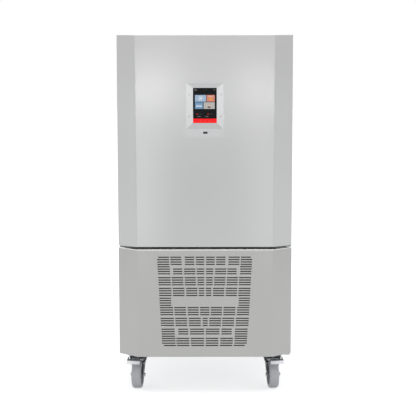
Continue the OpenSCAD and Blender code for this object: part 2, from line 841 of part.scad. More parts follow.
module usb_port() {
    half = [usb_size[0] / 2 - 0.2, usb_size[1] / 2 - 0.2];
    wall = 0.8;
    front = front_y - 2;
    color(zinc) {
        difference() {
            block([usb_at[0] - half[0], front, usb_at[1] - half[1]],
                  [usb_at[0] + half[0], bezel_back, usb_at[1] + half[1]]);
            block([usb_at[0] - half[0] + wall, front - 1, usb_at[1] - half[1] + wall],
                  [usb_at[0] + half[0] - wall, bezel_back - 2, usb_at[1] + half[1] - wall]);
        }
        block([usb_at[0] - half[0] + 3, front + 1, usb_at[1]],
              [usb_at[0] + half[0] - 3, bezel_back - 1, usb_at[1] + 2]);
    }
}

// ---- Lower panel ----

function grille_half_at(z) =
    grille_half[1] + (grille_half[0] - grille_half[1]) * (z - grille_z[1]) / (grille_z[0] - grille_z[1]);

module grille_slots() {
    for (group = grille_groups, row = [0 : group[1] - 1])
        let (z = group[0] - row * slot_pitch, half = grille_half_at(z))
        for (slot = group[2])
            block([slot[0] * half, front_y - 2, z - slot_h / 2],
                  [slot[1] * half, front_y + sheet + 2, z + slot_h / 2]);
}

module lower_panel() {
    flange_w = 30;
    outer = folded_front(overall_w, panel_wing, panel_back, panel_back, 0);
    inner = folded_front(overall_w, panel_wing, panel_back, panel_back, sheet);
    color(steel_colour) difference() {
        union() {
            translate([0, 0, panel_bottom]) linear_extrude(panel_top - panel_bottom)
                polygon(concat(outer, backwards(inner)));
            for (z = [panel_bottom, panel_top - sheet]) {
                translate([0, 0, z]) linear_extrude(sheet) difference() {
                    polygon(folded_front(overall_w, panel_wing, panel_back, panel_back, 0.5));
                    polygon([[-flat_w / 2, front_y + flange_w], [flat_w / 2, front_y + flange_w],
                             [overall_w / 2 - 30, panel_back + 1],
                             [-overall_w / 2 + 30, panel_back + 1]]);
                }
                post_z(panel_pivot, z, z + sheet, 6);
            }
        }
        grille_slots();
        for (z = [panel_bottom, panel_top - sheet])
            post_z(panel_pivot, z - 1, z + sheet + 1, panel_pin_r + running_fit);
    }
}

// Framed mesh that slips behind the slots
module air_filter() {
    y = [front_y + 4, front_y + 12];
    x = 228;
    z = [208, 660];
    frame_w = 8;
    color(black) {
        difference() {
            block([-x, y[0], z[0]], [x, y[1], z[1]]);
            block([-x + frame_w, y[0] - 1, z[0] + frame_w], [x - frame_w, y[1] + 1, z[1] - frame_w]);
        }
        block([-x + 1, y[0] + 3, z[0] + 1], [x - 1, y[0] + 5, z[1] - 1]);
    }
}

// ---- Casters ----

function bolt_holes() =
    [for (x = [-1, 1], y = [-1, 1]) [x * bolt_spacing[0] / 2, y * bolt_spacing[1] / 2]];

// Places its children at a caster's swivel axis, turned as that caster stands
module at_caster(i) {
    translate([casters[i][0], casters[i][1], 0]) rotate(casters[i][2]) children();
}

module caster_plates() {
    top = cabinet_bottom;
    color(zinc)
        for (c = casters)
            translate([c[0], c[1], 0]) {
                difference() {
                    translate([-plate_size[0] / 2, -plate_size[1] / 2, top - plate_size[2]])
                        cube(plate_size);
                    for (hole = bolt_holes())
                        post_z(hole, top - plate_size[2] - 1, top + 1, bolt_r + 0.25);
                }
                post_z([0, 0], race_z, top - plate_size[2], 27);
                post_z([0, 0], crown_z - 3.5, race_z, kingpin_r);
                post_z([0, 0], crown_z - 3.3, crown_z - running_gap, 10);
            }
}

module caster_bolts() {
    under = cabinet_bottom - plate_size[2];
    nut_z = cabinet_bottom + floor_t;
    color(zinc)
        for (c = casters, hole = bolt_holes())
            translate([c[0] + hole[0], c[1] + hole[1], 0]) {
                translate([0, 0, under - 5]) cylinder(r = 7, h = 5, $fn = 6);
                post_z([0, 0], under, nut_z + 9, bolt_r);
                translate([0, 0, nut_z]) cylinder(r = 7, h = 6.5, $fn = 6);
            }
}

// The sheet-steel leg of a fork on the +X side: upright beside the wheel, flared up to the crown
fork_top = crown_z + 5;
fork_bend = wheel_r + 42;
module fork_leg() {
    intersection() {
        rotate([90, 0, 0]) linear_extrude(200, center = true)
            polygon([[leg_x, 0], [leg_x, fork_bend], [leg_x + leg_flare, fork_top],
                     [leg_x + leg_flare + leg_t, fork_top], [leg_x + leg_t, fork_bend],
                     [leg_x + leg_t, 0]]);
        rotate([90, 0, 90]) linear_extrude(200, center = true)
            polygon([[20, crown_z + 8], [20, fork_bend], [-trail + 12, wheel_r - 12],
                     [-trail - 6, wheel_r - 14], [-trail - 14, wheel_r + 6], [-28, crown_z + 8]]);
    }
}

// The skirt that joins the legs behind the wheel
module fork_skirt() {
    low = leg_x + leg_t;
    high = low + leg_flare;
    translate([0, 20, 0]) rotate([90, 0, 0]) linear_extrude(leg_t)
        polygon([[-low, fork_bend], [low, fork_bend], [high, fork_top], [-high, fork_top]]);
}

module fork(i) {
    front = casters[i][1] < 0;
    color(zinc) at_caster(i) {
        difference() {
            union() {
                hull() {
                    post_z([0, 0], crown_z, race_z - running_gap, 32);
                    block([-crown_r, -28, crown_z], [crown_r, 20, race_z - running_gap]);
                }
                fork_skirt();
                for (side = [0, 1]) {
                    mirror([side, 0, 0]) fork_leg();
                    mirror([side, 0, 0]) disc_x([-trail, wheel_r], leg_x, leg_x + leg_t, 15);
                }
            }
            post_z([0, 0], crown_z - 20, race_z + 1, kingpin_r + running_fit);
            disc_x([-trail, wheel_r], -40, 40, axle_r + 0.1);
        }
        if (front)
            disc_x(pedal_pin, -crown_r + 2, crown_r - 2, pedal_pin_r);
    }
}

// Half section of a wheel from its bore out to the rounded tread
wheel_section = rounded([[axle_r + running_fit, -leg_x + 0.5, 0], [14, -leg_x + 0.5, 0],
                         [16, -tread_w / 2 + 8, 3], [wheel_r - 18, -tread_w / 2 + 8, 3],
                         [wheel_r - 14, -tread_w / 2, 0], [wheel_r, -tread_w / 2, 8],
                         [wheel_r, tread_w / 2, 8], [wheel_r - 14, tread_w / 2, 0],
                         [wheel_r - 18, tread_w / 2 - 8, 3], [16, tread_w / 2 - 8, 3],
                         [14, leg_x - 0.5, 0], [axle_r + running_fit, leg_x - 0.5, 0]]);

module wheel(i) {
    color("#8b8d8f") at_caster(i)
        translate([0, -trail, wheel_r]) rotate([0, 90, 0])
            rotate_extrude() polygon(wheel_section);
}

module axle(i) {
    end = leg_x + leg_t;
    color(zinc) at_caster(i) translate([0, -trail, wheel_r]) rotate([0, 90, 0]) {
        translate([0, 0, -end - 1]) cylinder(r = axle_r, h = 2 * end + 10);
        translate([0, 0, -end - 6]) cylinder(r = 9, h = 6, $fn = 6);
        translate([0, 0, end]) cylinder(r = 9, h = 7, $fn = 6);
    }
}

// The foot pedal over the wheel: a bent hood that reaches further out to the chiller's outer side
module brake(i) {
    outer = casters[i][0] < 0 ? -1 : 1;
    under = [[-24, 131], [-46, 132], [-62, 139], [-84, 144], [-96, 141], [-104, 129]];
    over = [[-107, 129.6], [-98.5, 143.5], [-84, 147.1], [-61, 142], [-45.5, 135], [-24, 134]];
    side_x = outer * 42;
    color(zinc) at_caster(i) difference() {
        union() {
            disc_x(pedal_pin, -28, 28, 6);
            intersection() {
                rotate([90, 0, 90]) linear_extrude(200, center = true) polygon(concat(under, over));
                union() {
                    block([-28, -52, 100], [28, -20, 160]);
                    block([min(-20 * outer, side_x), -110, 100], [max(-20 * outer, side_x), -48, 160]);
                }
            }
            translate([min(side_x, side_x - 3 * outer), 0, 0]) rotate([90, 0, 90])
                linear_extrude(3) polygon([[-105, 129.3], [-50, 135], [-46, 149.5], [-58, 149.5],
                                           [-97, 142]]);
        }
        disc_x(pedal_pin, -40, 40, pedal_pin_r + running_fit);
    }
}

module fork_front_left() { fork(FRONT_LEFT); }
module fork_front_right() { fork(FRONT_RIGHT); }
module fork_rear_left() { fork(REAR_LEFT); }
module fork_rear_right() { fork(REAR_RIGHT); }
module wheel_front_left() { wheel(FRONT_LEFT); }
module wheel_front_right() { wheel(FRONT_RIGHT); }
module wheel_rear_left() { wheel(REAR_LEFT); }
module wheel_rear_right() { wheel(REAR_RIGHT); }
module axle_front_left() { axle(FRONT_LEFT); }
module axle_front_right() { axle(FRONT_RIGHT); }
module axle_rear_left() { axle(REAR_LEFT); }
module axle_rear_right() { axle(REAR_RIGHT); }
module brake_front_left() { brake(FRONT_LEFT); }
module brake_front_right() { brake(FRONT_RIGHT); }

side_panel_left();
side_panel_right();
top_panel();
back_panel();
rear_grille();
front_frame();
base_chassis();
insulation();
inner_liner();
rack_posts();
tray_runners();
evaporator_panel();
evaporator_coil();
fan_guards();
fan_motors();
drain_tube();
hinge_brackets();
hinge_screws();
compressor();
compressor_feet();
condenser_coil();
fan_shroud();
receiver();
filter_drier();
copper_lines();
power_box();
power_inlet();
wall_spacers();
caster_plates();
caster_bolts();
evaporator_fan_upper();
evaporator_fan_lower();
condenser_fan();
door_skin();
door_foam();
door_liner();
door_gasket();
door_bushes();
door_pull();
display_bezel();
touch_glass();
controller_housing();
bezel_screws();
usb_port();
lower_panel();
air_filter();
fork_front_left();
fork_front_right();
fork_rear_left();
fork_rear_right();
wheel_front_left();
wheel_front_right();
wheel_rear_left();
wheel_rear_right();
axle_front_left();
axle_front_right();
axle_rear_left();
axle_rear_right();
brake_front_left();
brake_front_right();
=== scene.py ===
import json
import math

import bmesh
import bpy
from mathutils import Matrix, Vector


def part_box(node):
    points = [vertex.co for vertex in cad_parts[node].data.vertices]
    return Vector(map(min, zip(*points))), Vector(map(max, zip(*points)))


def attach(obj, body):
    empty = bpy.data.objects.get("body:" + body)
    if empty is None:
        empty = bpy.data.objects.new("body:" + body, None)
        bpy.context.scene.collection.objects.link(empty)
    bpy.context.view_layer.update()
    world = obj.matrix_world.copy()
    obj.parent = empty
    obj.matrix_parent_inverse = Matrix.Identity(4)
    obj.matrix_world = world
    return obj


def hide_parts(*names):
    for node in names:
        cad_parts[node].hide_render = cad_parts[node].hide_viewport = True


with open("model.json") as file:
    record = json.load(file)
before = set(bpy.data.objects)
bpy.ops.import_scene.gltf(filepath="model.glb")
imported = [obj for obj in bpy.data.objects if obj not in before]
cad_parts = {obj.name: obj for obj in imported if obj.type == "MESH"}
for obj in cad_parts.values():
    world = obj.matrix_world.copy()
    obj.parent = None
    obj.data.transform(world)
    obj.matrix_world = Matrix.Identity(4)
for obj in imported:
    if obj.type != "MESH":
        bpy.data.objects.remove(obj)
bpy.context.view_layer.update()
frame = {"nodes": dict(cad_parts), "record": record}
nodes = frame["nodes"]
record = frame["record"]
scene = bpy.context.scene
mm = 0.001
print("frame loaded:", len(nodes), "nodes")


def newObject(name, data):
    obj = bpy.data.objects.new(name, data)
    scene.collection.objects.link(obj)
    return obj


def newMesh(name, bm):
    mesh = bpy.data.meshes.new(name)
    bm.to_mesh(mesh)
    bm.free()
    return mesh


# the camera stands where the photograph was taken from

studio = {
    "distance": 5.84,      # from the door's flat front
    "height": 1.692,
    "pitch": 8.04,         # degrees downwards
    "focalPixels": 1298,   # for a picture 416 wide
    "pictureWidth": 416,
    "sensorWidth": 36,
    "sideShift": 0.0145,   # the view passes a little right of the chiller's middle
    "roll": 0.06,
    "floorSize": 20,
    "floorColour": (0.82, 0.82, 0.82),
    "floorLift": (0.62, 0.46),   # what the floor adds for the eye, and for metal that shows it
    "worldColour": (0.97, 0.985, 1),
    "worldLight": 0.62,
}


def addCamera():
    data = bpy.data.cameras.new("camera")
    data.sensor_fit = "HORIZONTAL"
    data.sensor_width = studio["sensorWidth"]
    data.lens = studio["focalPixels"] / studio["pictureWidth"] * data.sensor_width
    data.clip_end = 60
    camera = newObject("camera", data)
    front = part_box("door_skin")[0].y
    camera.location = (studio["sideShift"], front - studio["distance"], studio["height"])
    camera.rotation_euler = (math.radians(90 - studio["pitch"]), math.radians(studio["roll"]), 0)
    scene.camera = camera


def seenByEye(tree, direct=1, mirrored=1):
    # direct for camera rays, mirrored for glossy and transmitted ones, and 0 for all others
    path = tree.nodes.new("ShaderNodeLightPath")
    value = None
    shares = {"Is Camera Ray": direct, "Is Glossy Ray": mirrored, "Is Transmission Ray": mirrored}
    for ray, share in shares.items():
        scaled = tree.nodes.new("ShaderNodeMath")
        scaled.operation = "MULTIPLY"
        scaled.inputs[1].default_value = share
        tree.links.new(path.outputs[ray], scaled.inputs[0])
        if value is None:
            value = scaled.outputs[0]
            continue
        larger = tree.nodes.new("ShaderNodeMath")
        larger.operation = "MAXIMUM"
        tree.links.new(value, larger.inputs[0])
        tree.links.new(scaled.outputs[0], larger.inputs[1])
        value = larger.outputs[0]
    return value


def addFloor():
    bm = bmesh.new()
    bmesh.ops.create_grid(bm, x_segments=1, y_segments=1, size=studio["floorSize"])
    mesh = newMesh("floor", bm)
    material = bpy.data.materials.new("floor")
    material.use_nodes = True
    tree = material.node_tree
    diffuse = tree.nodes["Principled BSDF"]
    diffuse.inputs["Base Color"].default_value = (*studio["floorColour"], 1)
    diffuse.inputs["Roughness"].default_value = 0.9
    diffuse.inputs["Specular IOR Level"].default_value = 0.1
    diffuse.inputs["Emission Color"].default_value = (1, 1, 1, 1)
    tree.links.new(seenByEye(tree, *studio["floorLift"]), diffuse.inputs["Emission Strength"])
    mesh.materials.append(material)
    newObject("floor", mesh)


def addWorld():
    world = bpy.data.worlds.new("studio")
    scene.world = world
    world.use_nodes = True
    tree = world.node_tree
    light = tree.nodes["Background"]
    light.inputs["Color"].default_value = (*studio["worldColour"], 1)
    light.inputs["Strength"].default_value = studio["worldLight"]
    white = tree.nodes.new("ShaderNodeBackground")
    white.inputs["Color"].default_value = (1, 1, 1, 1)
    white.inputs["Strength"].default_value = 1
    mix = tree.nodes.new("ShaderNodeMixShader")
    tree.links.new(seenByEye(tree), mix.inputs[0])
    tree.links.new(light.outputs[0], mix.inputs[1])
    tree.links.new(white.outputs[0], mix.inputs[2])
    tree.links.new(mix.outputs[0], tree.nodes["World Output"].inputs["Surface"])


lamps = {
    "left": {"at": (-0.56, -6.7, 1.08), "aim": (0, 0, 1.08), "size": (0.6, 0.26), "power": 1.05},
    "right": {"at": (0.54, -6.7, 1.08), "aim": (0, 0, 1.08), "size": (0.6, 0.26), "power": 0.9},
    "leftTall": {"at": (-0.48, -3.82, 0.5), "aim": (-0.3, 0, 0.5), "size": (0.2, 0.9), "power": 0.3},
    "rightTall": {"at": (0.46, -3.82, 0.5), "aim": (0.3, 0, 0.5), "size": (0.2, 0.9), "power": 0.22},
    "farLeft": {"at": (-4.1, -6.7, 1.1), "aim": (0, 0, 1.1), "size": (1.4, 0.6), "power": 4},
    "farRight": {"at": (4.1, -6.7, 1.1), "aim": (0, 0, 1.1), "size": (1.4, 0.6), "power": 4},
    "wingLeft": {"at": (-3.9, -2, 0.45), "aim": (-0.36, -0.4, 0.8), "size": (1.1, 1.6), "power": 0.62},
    "wingRight": {"at": (3.9, -2, 0.45), "aim": (0.36, -0.4, 0.8), "size": (1.1, 1.6), "power": 0.6},
    "farTop": {"at": (0, -6.7, 1.62), "aim": (0, 0, 1.62), "size": (1.9, 0.16), "power": 0.4},
    "overhead": {"at": (0, -0.4, 4.4), "aim": (0, -0.4, 0), "size": (3, 2.4), "power": 34},
    "leftSide": {"at": (-4.6, 1.2, 2.4), "aim": (0, 0, 0.9), "size": (2, 2), "power": 10},
    "rightSide": {"at": (4.6, 1.6, 2.4), "aim": (0, 0, 0.9), "size": (2, 2), "power": 8},
    "rear": {"at": (0.5, 4.8, 2.4), "aim": (0, 0, 0.9), "size": (2.4, 2), "power": 24},
}


def addLamps():
    for name, lamp in lamps.items():
        data = bpy.data.lights.new(name, "AREA")
        data.shape = "RECTANGLE"
        data.size, data.size_y = lamp["size"]
        data.energy = lamp["power"]
        obj = newObject(name, data)
        obj.location = lamp["at"]
        aim = Vector(lamp["aim"]) - obj.location
        obj.rotation_euler = aim.to_track_quat("-Z", "Y").to_euler()


addCamera()
addFloor()
addWorld()
addLamps()
scene.view_settings.view_transform = "Standard"
print("studio ready")


# finishes: each pattern reads Object coordinates, which are metres on the chiller

def newMaterial(name):
    material = bpy.data.materials.new(name)
    material.use_nodes = True
    return material, material.node_tree, material.node_tree.nodes["Principled BSDF"]


def grain(tree, scale, stretch=(1, 1, 1), detail=3):
    place = tree.nodes.new("ShaderNodeTexCoord")
    mapping = tree.nodes.new("ShaderNodeMapping")
    mapping.inputs["Scale"].default_value = stretch
    noise = tree.nodes.new("ShaderNodeTexNoise")
    noise.inputs["Scale"].default_value = scale
    noise.inputs["Detail"].default_value = detail
    tree.links.new(place.outputs["Object"], mapping.inputs["Vector"])
    tree.links.new(mapping.outputs[0], noise.inputs["Vector"])
    return noise.outputs["Fac"]


def spread(tree, value, low, high):
    # the noise's usual run, 0.3 to 0.7, spread from low to high
    node = tree.nodes.new("ShaderNodeMapRange")
    node.inputs["From Min"].default_value = 0.3
    node.inputs["From Max"].default_value = 0.7
    node.inputs["To Min"].default_value = low
    node.inputs["To Max"].default_value = high
    tree.links.new(value, node.inputs["Value"])
    return node.outputs["Result"]


def varyColour(tree, shader, factor, colour, vary):
    mix = tree.nodes.new("ShaderNodeMix")
    mix.data_type = "RGBA"
    mix.inputs[6].default_value = (*(c * (1 - vary) for c in colour), 1)
    mix.inputs[7].default_value = (*(min(1, c * (1 + vary)) for c in colour), 1)
    tree.links.new(factor, mix.inputs[0])
    tree.links.new(mix.outputs[2], shader.inputs["Base Color"])


def addBump(tree, shader, height, strength, distance):
    bump = tree.nodes.new("ShaderNodeBump")
    bump.inputs["Strength"].default_value = strength
    bump.inputs["Distance"].default_value = distance
    tree.links.new(height, bump.inputs["Height"])
    tree.links.new(bump.outputs["Normal"], shader.inputs["Normal"])


def brushedSteel(name, colour, rough=(0.3, 0.42), vary=0.05):
    # fine upright lines over broad faint wipe marks
    material, tree, shader = newMaterial(name)
    lines = grain(tree, 30, (60, 60, 1), 4)
    cloud = grain(tree, 2.4, (1, 1, 0.5), 2)
    both = tree.nodes.new("ShaderNodeMath")
    both.operation = "MULTIPLY_ADD"
    both.inputs[1].default_value = 0.35
    tree.links.new(lines, both.inputs[0])
    tree.links.new(spread(tree, cloud, 0, 0.65), both.inputs[2])
    varyColour(tree, shader, both.outputs[0], colour, vary)
    tree.links.new(spread(tree, lines, *rough), shader.inputs["Roughness"])
    shader.inputs["Metallic"].default_value = 1
    addBump(tree, shader, lines, 0.03, 0.0002)
    return material


def plainMetal(name, colour, rough=(0.3, 0.45), scale=60, vary=0.08):
    material, tree, shader = newMaterial(name)
    mottle = grain(tree, scale, detail=4)
    varyColour(tree, shader, spread(tree, mottle, 0, 1), colour, vary)
    tree.links.new(spread(tree, mottle, *rough), shader.inputs["Roughness"])
    shader.inputs["Metallic"].default_value = 1
    addBump(tree, shader, mottle, 0.08, 0.0003)
    return material


def moulded(name, colour, rough=0.5, scale=420, bump=0.12, sheen=0.5):
    # plastic, rubber, foam or glass with a fine skin
    material, tree, shader = newMaterial(name)
    shader.inputs["Specular IOR Level"].default_value = sheen
    speck = grain(tree, scale, detail=2)
    cloud = grain(tree, 9)
    varyColour(tree, shader, spread(tree, cloud, 0, 1), colour, 0.06)
    tree.links.new(spread(tree, cloud, rough - 0.06, rough + 0.06), shader.inputs["Roughness"])
    addBump(tree, shader, speck, bump, 0.0004)
    return material


def glowing(name, colour, strength=0.9):
    material, _, shader = newMaterial(name)
    shader.inputs["Base Color"].default_value = (0.01, 0.01, 0.01, 1)
    shader.inputs["Roughness"].default_value = 0.12
    shader.inputs["Specular IOR Level"].default_value = 0.12
    shader.inputs["Emission Color"].default_value = (*colour, 1)
    shader.inputs["Emission Strength"].default_value = strength
    return material


finish = {
    "stainless": brushedSteel("stainless", (0.52, 0.525, 0.53)),
    "door_steel": brushedSteel("doorSteel", (0.5, 0.5, 0.5), rough=(0.16, 0.2), vary=0.03),
    "panel_steel": brushedSteel("panelSteel", (0.43, 0.43, 0.42), rough=(0.19, 0.25), vary=0.03),
    "bezel": brushedSteel("bezelSteel", (0.52, 0.522, 0.525), rough=(0.2, 0.26), vary=0.02),
    "galvanised": plainMetal("galvanised", (0.42, 0.44, 0.45), scale=22, vary=0.16),
    "zinc": plainMetal("zincPlate", (0.52, 0.54, 0.57)),
    "foam": moulded("foam", (0.76, 0.68, 0.44), rough=0.9, scale=160, bump=0.3),
    "gasket": moulded("gasketRubber", (0.16, 0.165, 0.17), rough=0.6),
    "pull": plainMetal("anodised", (0.40, 0.41, 0.42), rough=(0.35, 0.45)),
    "black_plastic": moulded("blackPlastic", (0.03, 0.032, 0.035)),
    "black_enamel": moulded("blackEnamel", (0.02, 0.021, 0.023), rough=0.28, scale=120, bump=0.05),
    "rubber": moulded("blackRubber", (0.03, 0.03, 0.03), rough=0.75),
    "screen": moulded("screenGlass", (0.006, 0.007, 0.008), rough=0.1, bump=0, sheen=0.12),
    "coil": plainMetal("finStock", (0.50, 0.51, 0.52), scale=90),
    "copper": plainMetal("copperTube", (0.62, 0.29, 0.16), vary=0.18),
    "wheel": moulded("greyTread", (0.58, 0.58, 0.605), rough=0.36),
}
slotOf = {row["node"]: row["material_slot"] for row in record["subparts"]}
bodyOf = {node: body for body, held in record["behaviour"]["bodies"].items() for node in held}
jointOf = {joint["child"]: joint for joint in record["behaviour"]["joints"]}
for name, obj in nodes.items():
    obj.data.materials.clear()
    obj.data.materials.append(finish[slotOf[name]])
print("finishes ready:", len(finish))


# shared ways of making a piece: every bmesh is in millimetres until it is finished

def boxOf(node):
    low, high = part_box(node)
    return low / mm, high / mm


def claim(obj, node, shows):
    # the piece moves as its CAD node does, and takes the node's place where it shows it
    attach(obj, bodyOf[node])
    if shows:
        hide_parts(node)


def finishPiece(name, bm, node, shows=True, slot=None, smooth=32, thickness=0, looks=()):
    # looks lists its materials where they aren't the slot's
    bmesh.ops.scale(bm, vec=(mm, mm, mm), verts=bm.verts)
    mesh = newMesh(name, bm)
    mesh.shade_smooth()
    mesh.set_sharp_from_angle(angle=math.radians(smooth))
    obj = newObject(name, mesh)
    slot = slot or slotOf[node]
    for look in looks or [finish[slot]]:
        mesh.materials.append(look)
    if thickness:
        wall = obj.modifiers.new("sheet", "SOLIDIFY")
        wall.thickness = thickness * mm
        wall.offset = -1
        wall.use_even_offset = True
    shading = obj.modifiers.new("shading", "WEIGHTED_NORMAL")
    shading.keep_sharp = True
    claim(obj, node, shows)


def isSharp(edge, degrees=30):
    return len(edge.link_faces) == 2 and edge.calc_face_angle() > math.radians(degrees)


def isUpright(edge):
    a, b = (v.co for v in edge.verts)
    return abs(a.x - b.x) < 0.01 and abs(a.y - b.y) < 0.01


def edgesOf(verts):
    return list(dict.fromkeys(e for v in verts for e in v.link_edges))


def paint(verts, index):
    for face in {f for v in verts for f in v.link_faces}:
        face.material_index = index


def roundEdges(bm, edges, width, segments=3):
    return bmesh.ops.bevel(bm, geom=edges, offset=width, offset_type="OFFSET", affect="EDGES",
                           segments=segments, profile=0.5, material=-1, clamp_overlap=True)


def splitFaces(bm, faces, place, normal):
    # cuts the faces where a plane crosses them
    edges = dict.fromkeys(e for f in faces for e in f.edges)
    verts = dict.fromkeys(v for f in faces for v in f.verts)
    bmesh.ops.bisect_plane(bm, geom=[*faces, *edges, *verts], plane_co=place, plane_no=normal)


def nodeShape(node):
    # a merged copy of a CAD node, with its flat faces whole
    bm = bmesh.new()
    bm.from_mesh(nodes[node].data)
    bmesh.ops.scale(bm, vec=(1 / mm, 1 / mm, 1 / mm), verts=bm.verts)
    bmesh.ops.remove_doubles(bm, verts=bm.verts, dist=0.01)
    bmesh.ops.dissolve_limit(bm, angle_limit=math.radians(1), verts=bm.verts, edges=bm.edges)
    return bm


def softened(name, node, width, segments=2, degrees=30, looks=()):
    bm = nodeShape(node)
    roundEdges(bm, [e for e in bm.edges if isSharp(e, degrees)], width, segments)
    finishPiece(name, bm, node, looks=looks)


def joinInto(bm, other):
    mesh = newMesh("joined", other)
    bm.from_mesh(mesh)
    bpy.data.meshes.remove(mesh)


def addBlock(bm, place, size, rounding=0, segments=2):
    # a box about the middle of place
    verts = bmesh.ops.create_cube(bm, size=1, matrix=place @ Matrix.Diagonal((*size, 1)))["verts"]
    if rounding:
        roundEdges(bm, edgesOf(verts), rounding, segments)
    return verts


def addBox(bm, low, high, rounding=0, segments=2):
    low, high = Vector(low), Vector(high)
    addBlock(bm, Matrix.Translation((low + high) / 2), high - low, rounding, segments)


def addPlate(bm, middle, size, corner, segments):
    # a plate with round corners, whose corner faces are returned
    verts = addBlock(bm, Matrix.Translation(middle), size)
    return roundEdges(bm, [e for e in edgesOf(verts) if isUpright(e)], corner, segments)["faces"]


def along(start, end):
    # a frame at start whose Z axis points at end
    run = Vector(end) - Vector(start)
    return Matrix.Translation(Vector(start)) @ run.to_track_quat("Z", "Y").to_matrix().to_4x4()


def addRod(bm, start, end, radius, steps=24, rounding=0, endRadius=None):
    length = (Vector(end) - Vector(start)).length
    place = along(start, end) @ Matrix.Translation((0, 0, length / 2))
    made = bmesh.ops.create_cone(bm, cap_ends=True, segments=steps, radius1=radius,
                                 radius2=radius if endRadius is None else endRadius,
                                 depth=length, matrix=place)
    if rounding:
        roundEdges(bm, [e for e in edgesOf(made["verts"]) if isSharp(e, 50)], rounding, 2)


def addTurned(bm, section, place, steps=48, hollow=False):
    # section is a list of (radius, height) that turns about the Z axis of place, and a hollow
    # shape, such as a recess, is seen from its inside
    turned = bmesh.new()
    verts = [turned.verts.new((radius, 0, height)) for radius, height in section]
    edges = [turned.edges.new(pair) for pair in zip(verts, verts[1:])]
    bmesh.ops.spin(turned, geom=verts + edges, cent=(0, 0, 0), axis=(0, 0, 1), dvec=(0, 0, 0),
                   angle=math.tau, steps=steps, use_merge=True)
    bmesh.ops.remove_doubles(turned, verts=turned.verts, dist=0.001)
    bmesh.ops.transform(turned, matrix=place, verts=turned.verts)
    bmesh.ops.recalc_face_normals(turned, faces=turned.faces)
    if hollow:
        bmesh.ops.reverse_faces(turned, faces=turned.faces)
    joinInto(bm, turned)


def addRing(bm, centre, axis, radius, wire, steps=48, wireSteps=8):
    # a round wire bent into a ring about the given axis
    section = [(radius + wire * math.cos(t), wire * math.sin(t))
               for t in (math.tau * i / wireSteps for i in range(wireSteps + 1))]
    addTurned(bm, section, along(centre, Vector(centre) + Vector(axis)), steps)


def addScrew(bm, at, out, radius, height, steps=20):
    # a domed head with a hexagon recess
    place = along(at, Vector(at) + Vector(out))
    dome = [(1, 0), (1, 0.3), (0.86, 0.75), (0.55, 1), (0.42, 1)]
    recess = [(0.42, 1), (0.42, 0.45), (0, 0.3)]
    addTurned(bm, [(r * radius, h * height) for r, h in dome], place, steps)
    addTurned(bm, [(r * radius, h * height) for r, h in recess], place, 6, hollow=True)


def addTube(name, node, points, radius, bend, shows):
    # a round tube through the points, with an arc of radius bend at each corner
    path = [Vector(points[0])]
    arcSteps = 8
    for before, corner, after in zip(points, points[1:], points[2:]):
        corner = Vector(corner)
        back = (Vector(before) - corner).normalized()
        forth = (Vector(after) - corner).normalized()
        half = back.angle(forth) / 2
        reach = bend / math.tan(half)
        centre = corner + (back + forth).normalized() * bend / math.sin(half)
        start = corner + back * reach - centre
        end = corner + forth * reach - centre
        path += [centre + start.lerp(end, step / arcSteps).normalized() * bend
                 for step in range(arcSteps + 1)]
    path.append(Vector(points[-1]))
    curve = bpy.data.curves.new(name, "CURVE")
    curve.dimensions = "3D"
    curve.bevel_depth = radius * mm
    curve.bevel_resolution = 4
    curve.use_fill_caps = True
    spline = curve.splines.new("POLY")
    spline.points.add(len(path) - 1)
    for point, place in zip(spline.points, path):
        point.co = (*(place * mm), 1)
    curve.materials.append(finish[slotOf[node]])
    claim(newObject(name, curve), node, shows)


# the door and the lower panel are the same folded sheet at two sizes

def foldedPrism(plan, bottom, top):
    bm = bmesh.new()
    floor = bm.faces.new([bm.verts.new((x, y, bottom)) for x, y in plan])
    grown = bmesh.ops.extrude_face_region(bm, geom=[floor], use_keep_orig=True)
    lifted = [v for v in grown["geom"] if isinstance(v, bmesh.types.BMVert)]
    bmesh.ops.translate(bm, vec=(0, 0, top - bottom), verts=lifted)
    bmesh.ops.recalc_face_normals(bm, faces=bm.faces)
    return bm


def roundFolds(bm, form, low, high):
    half = form["flatWidth"] / 2
    turn = math.atan2(form["wing"], high.x - half)
    upright = [e for e in bm.edges if isUpright(e)]
    folds = [e for e in upright if abs(abs(e.verts[0].co.x) - half) < 0.1]
    wingY = low.y + form["wing"]
    corners = [e for e in upright
               if abs(abs(e.verts[0].co.x) - high.x) < 0.1 and abs(e.verts[0].co.y - wingY) < 0.1]
    roundEdges(bm, folds, form["foldRadius"] * math.tan(turn / 2), 6)
    roundEdges(bm, corners, form["cornerRadius"] * math.tan((math.pi / 2 - turn) / 2), 6)


def outlineEdges(bm, height, backY):
    # the front, wing and side edges at a height, without those across the back
    level = [e for e in bm.edges if all(abs(v.co.z - height) < 0.01 for v in e.verts)]
    return [e for e in level if sum(v.co.y for v in e.verts) / 2 < backY - 0.01]


def keepStrip(bm, form, low, high, height, width):
    # leaves a strip of the flat end at this height, along the front and both wings
    half = form["flatWidth"] / 2
    lines = [(Vector((0, low.y + width, height)), Vector((0, 1, 0)))]
    for side in (-1, 1):
        inward = Vector((-side * form["wing"], high.x - half, 0)).normalized()
        lines.append((Vector((side * half, low.y, height)) + inward * width, inward))

    def flatFaces():
        return [f for f in bm.faces if abs(f.calc_center_median().z - height) < 0.01]
    for place, inward in lines:
        splitFaces(bm, flatFaces(), place, inward)
    inner = [f for f in flatFaces()
             if all((f.calc_center_median() - place).dot(inward) > 0 for place, inward in lines)]
    bmesh.ops.delete(bm, geom=inner, context="FACES")


